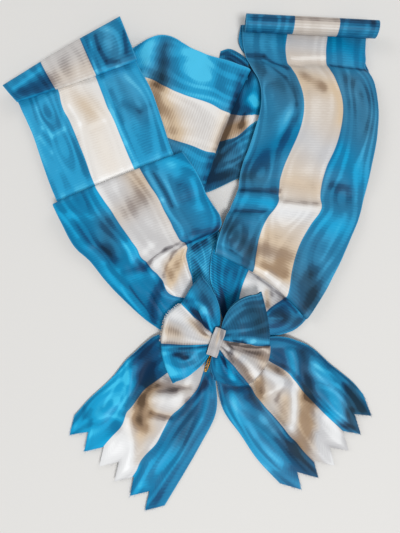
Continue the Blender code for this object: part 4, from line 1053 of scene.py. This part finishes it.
# Roll columns: back x, y, front x, y, height of the middle, half thickness
leftRoll = {
    "name": "left_roll_ribbon", "node": "left_top_roll", "seed": 13, "held": "folded",
    "restsOn": ["left_upper_ribbon"], "turns": 1.9,
    "ends": [(-141, 138, -130, 125, 7, 4.2), (-97, 163, -85, 138, 10, 4.2), (-52, 186, -39, 153, 13, 4.4)],
    "warm": 0.15,
    "eyes": [(29, 87, 10, 12, 9, 2.4), (29, 55, 10, 10, 10, 1.2)],
    "toneShadeHighlightStrokes": [(29, 6, 24, 30, 2, 0.6), (31, 3, 31, 5, 3, 0.4), (31, 57, 41, 58, 5, 0.3),
        (23, 73, 41, 68, 43, 84, 43, 97, 1.6, 0.5), (22, 88, 31, 90, 6, 0.3), (31, 96, 41, 96, 3, -0.3),
        (33, 41, 31, 65, 10, -0.25), (37, 11, 36, 31, 7, -0.9), (27, 48, 40, 47, 5, -0.2),
        (44, 36, 44, 66, 1.3, 0.5), (43, 1, 43, 33, 1.2, 0.6), (44, 68, 44, 99, 1.2, 0.5),
        (20, 78, 29, 77, 1.5, -0.5), (30, 77, 38, 78, 1.5, -0.6), (38, 79, 41, 87, 1.5, -0.6),
        (40, 88, 37, 94, 1.5, -0.5), (36, 95, 26, 99, 1.5, -0.5), (32, 4, 36, 12, 4, -0.4),
        (26, 44, 30, 62, 11, -0.12), (18, 87, 27, 86, 4, 0.3)],
    "lightTintShare": [(18, 83, 40, 88, 8, 0.4), (37, 41, 38, 65, 8, 0.3), (25, 89, 33, 85, 8, 0.2)],
}
rightRoll = {
    "name": "right_roll_ribbon", "node": "right_top_roll", "seed": 14, "held": "folded",
    "restsOn": ["right_upper_ribbon"], "turns": 2.2,
    "ends": [(41, 188.4, 40.3, 175.8, 12.5, 6.3), (90, 185.9, 89.3, 173.3, 12.5, 6.3),
        (138, 183.4, 137.3, 170.8, 12.5, 6.3)],
    "level": -0.15, "warm": 0.4, "ribbing": 1.6,
    "stripes": [(0, 36, 69.6)],
    "eyes": [(22, 18, 10, 10, 9, 1.5), (20, 81, 10, 10, 9, 1.5)],
    "toneShadeHighlightStrokes": [(19, 4, 19, 34, 2.2, -0.7), (24, 6, 24, 34, 2, 0.25), (17, 37, 17, 66, 2.5, -0.5),
        (17, 71, 17, 95, 3, -0.8), (23, 39, 23, 67, 2, 0.3), (19, 94, 20, 98, 3, -0.6),
        (21, 4, 21, 32, 5, 0.3), (21, 72, 21, 96, 5, 0.3)],
}
roll = {"pitch": 1.45, "cellsATurn": 40, "cellsAcross": 96, "layersInPitch": 2, "deepest": 0.8}


def layStretch(piece):
    grid, push = stretchGrid(piece)
    turned = 0
    if "turnBack" in piece:
        grid = turnedUnder(grid, piece["turnBack"])
        turned = ribbon["turnCells"] + 2
    if "toothed" in piece:
        toothed = grid.copy()
        teeth = teethAt(np.linspace(0, 1, ribbon["acrossCells"] + 1))
        toothed[:, :, :2] += push[:, None, :] * teeth[None, :, None]
        grid[:, :, 2] = laidOver(toothed, turned)[:, :, 2]
    else:
        grid = laidOver(grid, turned)
        push = None
    layFine(piece, grid, push, sashSilk, turned)


def layRoll(piece):
    table = np.array(piece["ends"], float)
    read = curveThrough(np.arange(3.0), table, np.linspace(0, 2, roll["cellsAcross"] + 1))
    steps = np.arange(round(piece["turns"] * roll["cellsATurn"] * roll["layersInPitch"]) + 1)
    top = np.zeros((len(steps), roll["cellsAcross"] + 1, 3))
    inward = np.zeros_like(top)
    angle = 2 * math.pi * steps / roll["cellsATurn"]
    for j, row in enumerate(read):
        back, front, middleZ, halfHeight = row[0:2], row[2:4], row[4], row[5]
        half = np.linalg.norm(front - back) / 2
        forward = (front - back) / (2 * half)
        shrink = roll["pitch"] / roll["layersInPitch"] * steps / roll["cellsATurn"]
        shrink = np.minimum(shrink, halfHeight * roll["deepest"])
        for grid, inset in ((top, shrink), (inward, shrink + ribbon["cloth"])):
            grid[:, j, :2] = (back + front) / 2 - forward * ((half - inset) * np.sin(angle))[:, None]
            grid[:, j, 2] = middleZ - (halfHeight - inset) * np.cos(angle)
    sink = clearBelow(top, table[:, 4].mean())
    top[:, :, 2] -= sink
    inward[:, :, 2] -= sink
    shares = np.linspace(0, ribbon["width"], roll["cellsAcross"] + 1)
    along, across = np.meshgrid(rowPlaces(top), shares, indexing="ij")
    addCloth(piece, top, (top - inward) / ribbon["cloth"], along, across, sashSilk)


for piece in (underBand, backCorner, backBand, leftUpper):
    layStretch(piece)
layRoll(leftRoll)
for piece in (leftTuck, leftLower, rightLower, rightUpper):
    layStretch(piece)
layRoll(rightRoll)
for piece in (leftTail, rightTail):
    layStretch(piece)

# Ray columns: across, far end x, y, z, lift, sweep
bow = {
    "wrapUpper": (22.0, -43.5), "wrapLower": (15.5, -62.5), "wrapWidth": 8.0, "wrapTop": 15.0,
    "wrapDrop": 3.0, "wrapFlatness": 4, "startZ": 12.0, "gather": 15.0, "insideWrap": 3.0,
    "foldRadius": 2.6, "returnShare": 0.62, "humpSharpness": 1.5, "cells": 12, "returnCells": 4,
    "knot": (18.75, -53.0),
}
leftLoop = {
    "name": "bow_left_ribbon", "node": "bow_left_loop", "seed": 15, "held": "gathered", "side": -1,
    "restsOn": ["left_tail_ribbon"], "flat": (0.1, 0.062),
    "fray": {"from": 33.5, "to": 66.5, "spacing": 0.45, "length": 2, "thickness": 0.3, "spread": 0.7},
    "rays": [(0, 7, -4, 15, 5, 6), (16, 0, -13, 15, 7, 3), (33, -7, -25, 14, 2, 0), (50, -18, -35, 13, 5, 0),
        (66, -22, -54, 12, 4, 0), (83, -20, -68, 12, 6, -2), (100, -14, -83, 11, 2, -4)],
    "warm": 0.1, "ribbing": 0.8,
    "creases": [(33, 27, 22, 21, 3, 1.6), (22, 21, 8, 37, 3, 1.9), (26, 26, 14, 32, 3.5, -2.4),
        (40, 31, 29, 21, 2.5, -1), (25, 32, 8, 48, 3, 0.8), (37, 61, 6, 61, 3, -1), (25, 80, 23, 84, 5, -2),
        (38, 71, 6, 76, 3, 1), (38, 51, 13, 55, 3, 0.7)],
    "eyes": [(23, 81, 8, 8, 7, 2)],
    "toneShadeHighlightStrokes": [(37, 5, 26, 12, 6, -0.6), (23, 6, 14, 16, 3, -0.4), (39, 22, 34, 11, 4, 0.3),
        (31, 22, 22, 18, 2, 0.7), (22, 18, 9, 24, 2, 0.8), (27, 29, 14, 29, 4, -1.6),
        (38, 27, 31, 21, 2, -0.5), (38, 58, 29, 57, 5, -0.6), (23, 40, 11, 46, 3, -0.5),
        (39, 43, 29, 42, 6, 0.2), (40, 51, 38, 64, 1.8, 0.5), (38, 66, 6, 66, 1.6, -0.6),
        (28, 76, 22, 81, 3.5, -1.5), (20, 85, 11, 76, 1.8, 0.5), (37, 74, 37, 93, 4, 0.6),
        (37, 93, 23, 98, 4, 0.7), (39, 97, 35, 100, 2, -0.3), (38, 69, 6, 74, 3, -0.6),
        (39, 66, 39, 53, 1.8, 0.4), (40, 51, 41, 42, 1.8, 0.4), (37, 33, 27, 34, 1.3, 0.5),
        (38, 70, 39, 92, 2, 0.4), (14, 69, 15, 88, 2.2, 0.5), (19, 21, 9, 33, 2.5, -0.7),
        (23, 29, 11, 36, 3, -0.6), (41, 46, 40, 33, 2, 0.5), (20, 35, 10, 46, 3.5, -0.6),
        (34, 70, 28, 72, 2.5, 0.7)],
    "lightTintShare": [(38, 58, 29, 57, 7, 0.7), (23, 40, 8, 48, 6, 0.6), (23, 73, 16, 90, 8, 0.4),
        (37, 7, 22, 10, 9, 0.5), (38, 46, 25, 53, 8, -0.3)],
}
rightLoop = {
    "name": "bow_right_ribbon", "node": "bow_right_loop", "seed": 16, "held": "gathered", "side": 1,
    "restsOn": ["right_tail_ribbon"], "flat": (0.1, 0.062),
    "fray": {"from": 50, "to": 66.5, "spacing": 0.45, "length": 1.8, "thickness": 0.3, "spread": 0.7},
    "rays": [(0, 54, -18, 15, 4, -9), (16, 57, -35, 15, 8, -3), (33, 59, -54, 14, 6, 0),
        (50, 57, -69, 12, 2, 0), (66, 44, -84, 13, 5, 0), (83, 31, -86, 12, 5, 1), (100, 19, -82, 11, 2, 3)],
    "level": -0.35, "warm": 0.2, "ribbing": 0.7,
    "creases": [(13, 28, 20, 31, 35, 34, 3, 1.6), (11, 36, 22, 35, 2.5, -2.2), (8, 54, 34, 57, 3, 1.5),
        (14, 45, 31, 48, 3, -1.3), (17, 59, 33, 64, 3, -1.4), (10, 70, 21, 78, 3, -2),
        (16, 67, 26, 76, 3, 1.3), (21, 18, 31, 11, 8, -1)],
    "eyes": [(24, 14, 14, 14, 12, 1.6)],
    "toneShadeHighlightStrokes": [(9, 7, 21, 4, 3, 0.4), (12, 23, 7, 32, 3, 0.4), (25, 12, 32, 21, 9, -0.3),
        (25, 0, 35, 1, 2, 0.3), (16, 29, 23, 31, 35, 33, 2, 1), (10, 40, 18, 32, 1.5, -1.8),
        (19, 39, 35, 36, 1.2, -0.7), (23, 43, 34, 43, 5, -0.2), (16, 52, 36, 52, 2.5, 0.4),
        (21, 56, 36, 56, 3, -0.1), (31, 61, 36, 61, 2, 0.4), (10, 76, 17, 76, 2.5, -1.2),
        (12, 86, 24, 89, 2.5, 0.5), (22, 78, 33, 72, 3, 0.3), (17, 57, 35, 60, 6, -0.6),
        (10, 54, 35, 59, 3, 1), (20, 57, 34, 64, 3, -0.5), (14, 50, 28, 44, 5, -0.4),
        (18, 72, 28, 77, 3.2, 0.8), (8, 68, 15, 76, 2, -0.7), (12, 89, 22, 92, 2, 0.6),
        (21, 64, 32, 67, 3.5, -0.3), (30, 9, 30, 24, 8, -0.3), (12, 31, 17, 30, 1.3, -1.3),
        (20, 41, 30, 38, 2.5, 0.3), (22, 45, 34, 46, 8, -0.45), (21, 56, 35, 59, 2.6, 0.5),
        (31, 38, 35, 41, 2, 0.5), (12, 40, 35, 36, 1.5, -0.8), (6, 35, 12, 57, 2, -1.2),
        (6, 58, 16, 65, 2, -0.8)],
    "lightTintShare": [(17, 10, 31, 17, 20, 0.5), (17, 57, 33, 62, 5, 0.6), (12, 78, 27, 76, 9, -0.3),
        (20, 42, 34, 43, 6, 0.15), (31, 47, 36, 53, 4, 0.4), (10, 57, 19, 56, 4, -0.4),
        (21, 57, 35, 59, 4, -0.5), (30, 9, 30, 24, 8, 0.3)],
    "stripes": [(0, 34.5, 66.7), (36, 36, 66.7)],
}
wrap = {
    "name": "bow_wrap_ribbon", "node": "bow_wrap", "seed": 17, "held": "stretched",
    "restsOn": ["bow_left_ribbon", "bow_right_ribbon"], "cellsAlong": 10, "cellsAcross": 4,
    "flat": (0.01, 0.024), "level": -0.3, "warm": 0.1, "ribsLengthwise": (0.5, 10),
    "toneShadeHighlightStrokes": [(2, 60, 5, 90, 3, -0.5), (1, 50, 0, 50, 2, -0.4)],
    "lightTintShare": [(3, 40, 9, 60, 5, 0.6)],
}

upper, lower = np.array(bow["wrapUpper"]), np.array(bow["wrapLower"])
down = (lower - upper) / np.linalg.norm(lower - upper)
aside = np.array([-down[1], down[0]])


def loopGrid(piece):  # each column runs out along its ray, turns under and comes part of the way back
    root = (upper + lower) / 2 + aside * piece["side"] * (bow["wrapWidth"] / 2 - bow["insideWrap"])
    table = np.array(piece["rays"], float)
    read = curveThrough(table[:, 0], table, np.linspace(0, ribbon["width"], ribbon["acrossCells"] + 1))
    columns = []
    for across, endX, endY, endZ, lift, sweep in read:
        start = root + down * bow["gather"] * (across / ribbon["width"] - 0.5)
        chord = np.array([endX, endY]) - start
        reach = np.linalg.norm(chord)
        ahead = chord / reach
        beside = np.array([ahead[1], -ahead[0]])
        crest = 1 - (bow["foldRadius"] + ribbon["wall"]) / reach

        def levelPlace(share):
            return start + chord * share + beside * sweep * 4 * share * (1 - share)

        line = []
        for part in np.linspace(0, 1, bow["cells"] + 1):
            hump = math.sin(math.pi * part) ** bow["humpSharpness"]
            height = bow["startZ"] + (endZ - bow["startZ"]) * part + lift * hump
            line.append([*levelPlace(part * crest), height])
        line += halfTurn(np.array(line[-1]), np.array([*ahead, 0]), bow["foldRadius"])
        lowZ = line[-1][2]
        for part in np.linspace(0, 1, bow["returnCells"] + 1)[1:]:
            line.append([*levelPlace(crest * (1 - part * bow["returnShare"])), lowZ])
        columns.append(line)
    return np.array(columns, float).transpose(1, 0, 2)


def wrapGrid():
    rows = []
    shares = np.linspace(-0.5, 0.5, wrap["cellsAcross"] + 1)
    for part in np.linspace(0, 1, wrap["cellsAlong"] + 1):
        middle = upper + (lower - upper) * part
        height = bow["wrapTop"] - bow["wrapDrop"] * (2 * part - 1) ** bow["wrapFlatness"]
        rows.append([[*(middle + aside * bow["wrapWidth"] * share), height] for share in shares])
    return np.array(rows)


turned = ribbon["turnCells"] + bow["returnCells"]
for piece in (leftLoop, rightLoop):
    layFine(piece, laidOver(loopGrid(piece), turned), None, sashSilk, turned)
wrapLow = laidOver(wrapGrid(), 0)
wrapLow[:, :, 2] -= clearBelow(wrapLow)
layFine(wrap, wrapLow, None, wrapSilk)

hook = {
    "node": "badge_hook", "top": (15.4, -63.4, 11.9), "end": (10.8, -75.4, 12.4), "spread": 1.7,
    "squareness": 0.6, "cells": 96, "strands": 2, "turns": 12, "wire": 0.75, "lay": 0.7, "spacing": 0.2,
}


def addHook():  # a long ring of twisted gilt wire that hangs from the knot
    top, end = np.array(hook["top"]), np.array(hook["end"])
    ahead = end - top
    beside = np.cross(ahead, up)
    beside *= hook["spread"] / 2 / np.linalg.norm(beside)
    points = []
    for step in range(hook["cells"]):
        angle = 2 * math.pi * step / hook["cells"]
        along = 1 - math.copysign(abs(math.cos(angle)) ** hook["squareness"], math.cos(angle))
        points.append(top + ahead * along / 2 + beside * math.sin(angle))
    lines = [(i, (i + 1) % hook["cells"]) for i in range(hook["cells"])]
    item = grow("badge_hook_wire", newMesh("guide", points, lines, [], {}), twistTree, {
        "Spacing": hook["spacing"] * mm, "Strands": hook["strands"], "Turns": hook["turns"],
        "Wire Radius": hook["wire"] / 2 * mm, "Lay Radius": hook["lay"] / 2 * mm, "Material": giltMetal})
    dress(item, hook)


addHook()
print("hook wound")

# The studio's sizes and places are in metres, and its lights in watts
studio = {
    "floor": (0.78, 0.77, 0.75, 1), "floorRoughness": 0.9, "floorHalf": 3.0, "floorLevel": -0.0002,
    "world": 0.36,
    "lights": [("key", (0.5, -1.0, 2.0), 0.7, 30.0), ("fill", (-1.4, 0.8, 1.2), 0.8, 5.0),
               ("rim", (0.9, 1.3, 1.0), 0.8, 4.0)],
    "camera": (0.007, 0.002, 0.300), "sensor": 36.0, "focalPixels": 390, "viewPixels": 533,
}


def addLight(name, place, size, watts):
    data = bpy.data.lights.new(name, "AREA")
    data.shape = "SQUARE"
    data.size = size
    data.energy = watts
    item = addItem(name, data)
    item.location = place
    item.rotation_euler = (-Vector(place)).to_track_quat("-Z", "Y").to_euler()


def addFloor():
    half = studio["floorHalf"]
    corners = [(x * half, y * half, studio["floorLevel"]) for x, y in ((-1, -1), (1, -1), (1, 1), (-1, 1))]
    mesh = bpy.data.meshes.new("floor")
    mesh.from_pydata(corners, [], [(0, 1, 2, 3)])
    material, tree, shader = newMaterial("paleFloor")
    shader.inputs["Base Color"].default_value = studio["floor"]
    shader.inputs["Roughness"].default_value = studio["floorRoughness"]
    mesh.materials.append(material)
    addItem("floor", mesh)


addFloor()
world = bpy.data.worlds.new("studio")
world.use_nodes = True
world.node_tree.nodes["Background"].inputs["Color"].default_value = (1, 1, 1, 1)
world.node_tree.nodes["Background"].inputs["Strength"].default_value = studio["world"]
bpy.context.scene.world = world
for light in studio["lights"]:
    addLight(*light)

cameraData = bpy.data.cameras.new("camera")
cameraData.sensor_fit = "VERTICAL"
cameraData.sensor_height = studio["sensor"]
cameraData.lens = studio["sensor"] * studio["focalPixels"] / studio["viewPixels"]
camera = addItem("camera", cameraData)
camera.location = studio["camera"]
bpy.context.scene.camera = camera
bpy.context.scene.view_settings.view_transform = "Standard"
print("stage set")
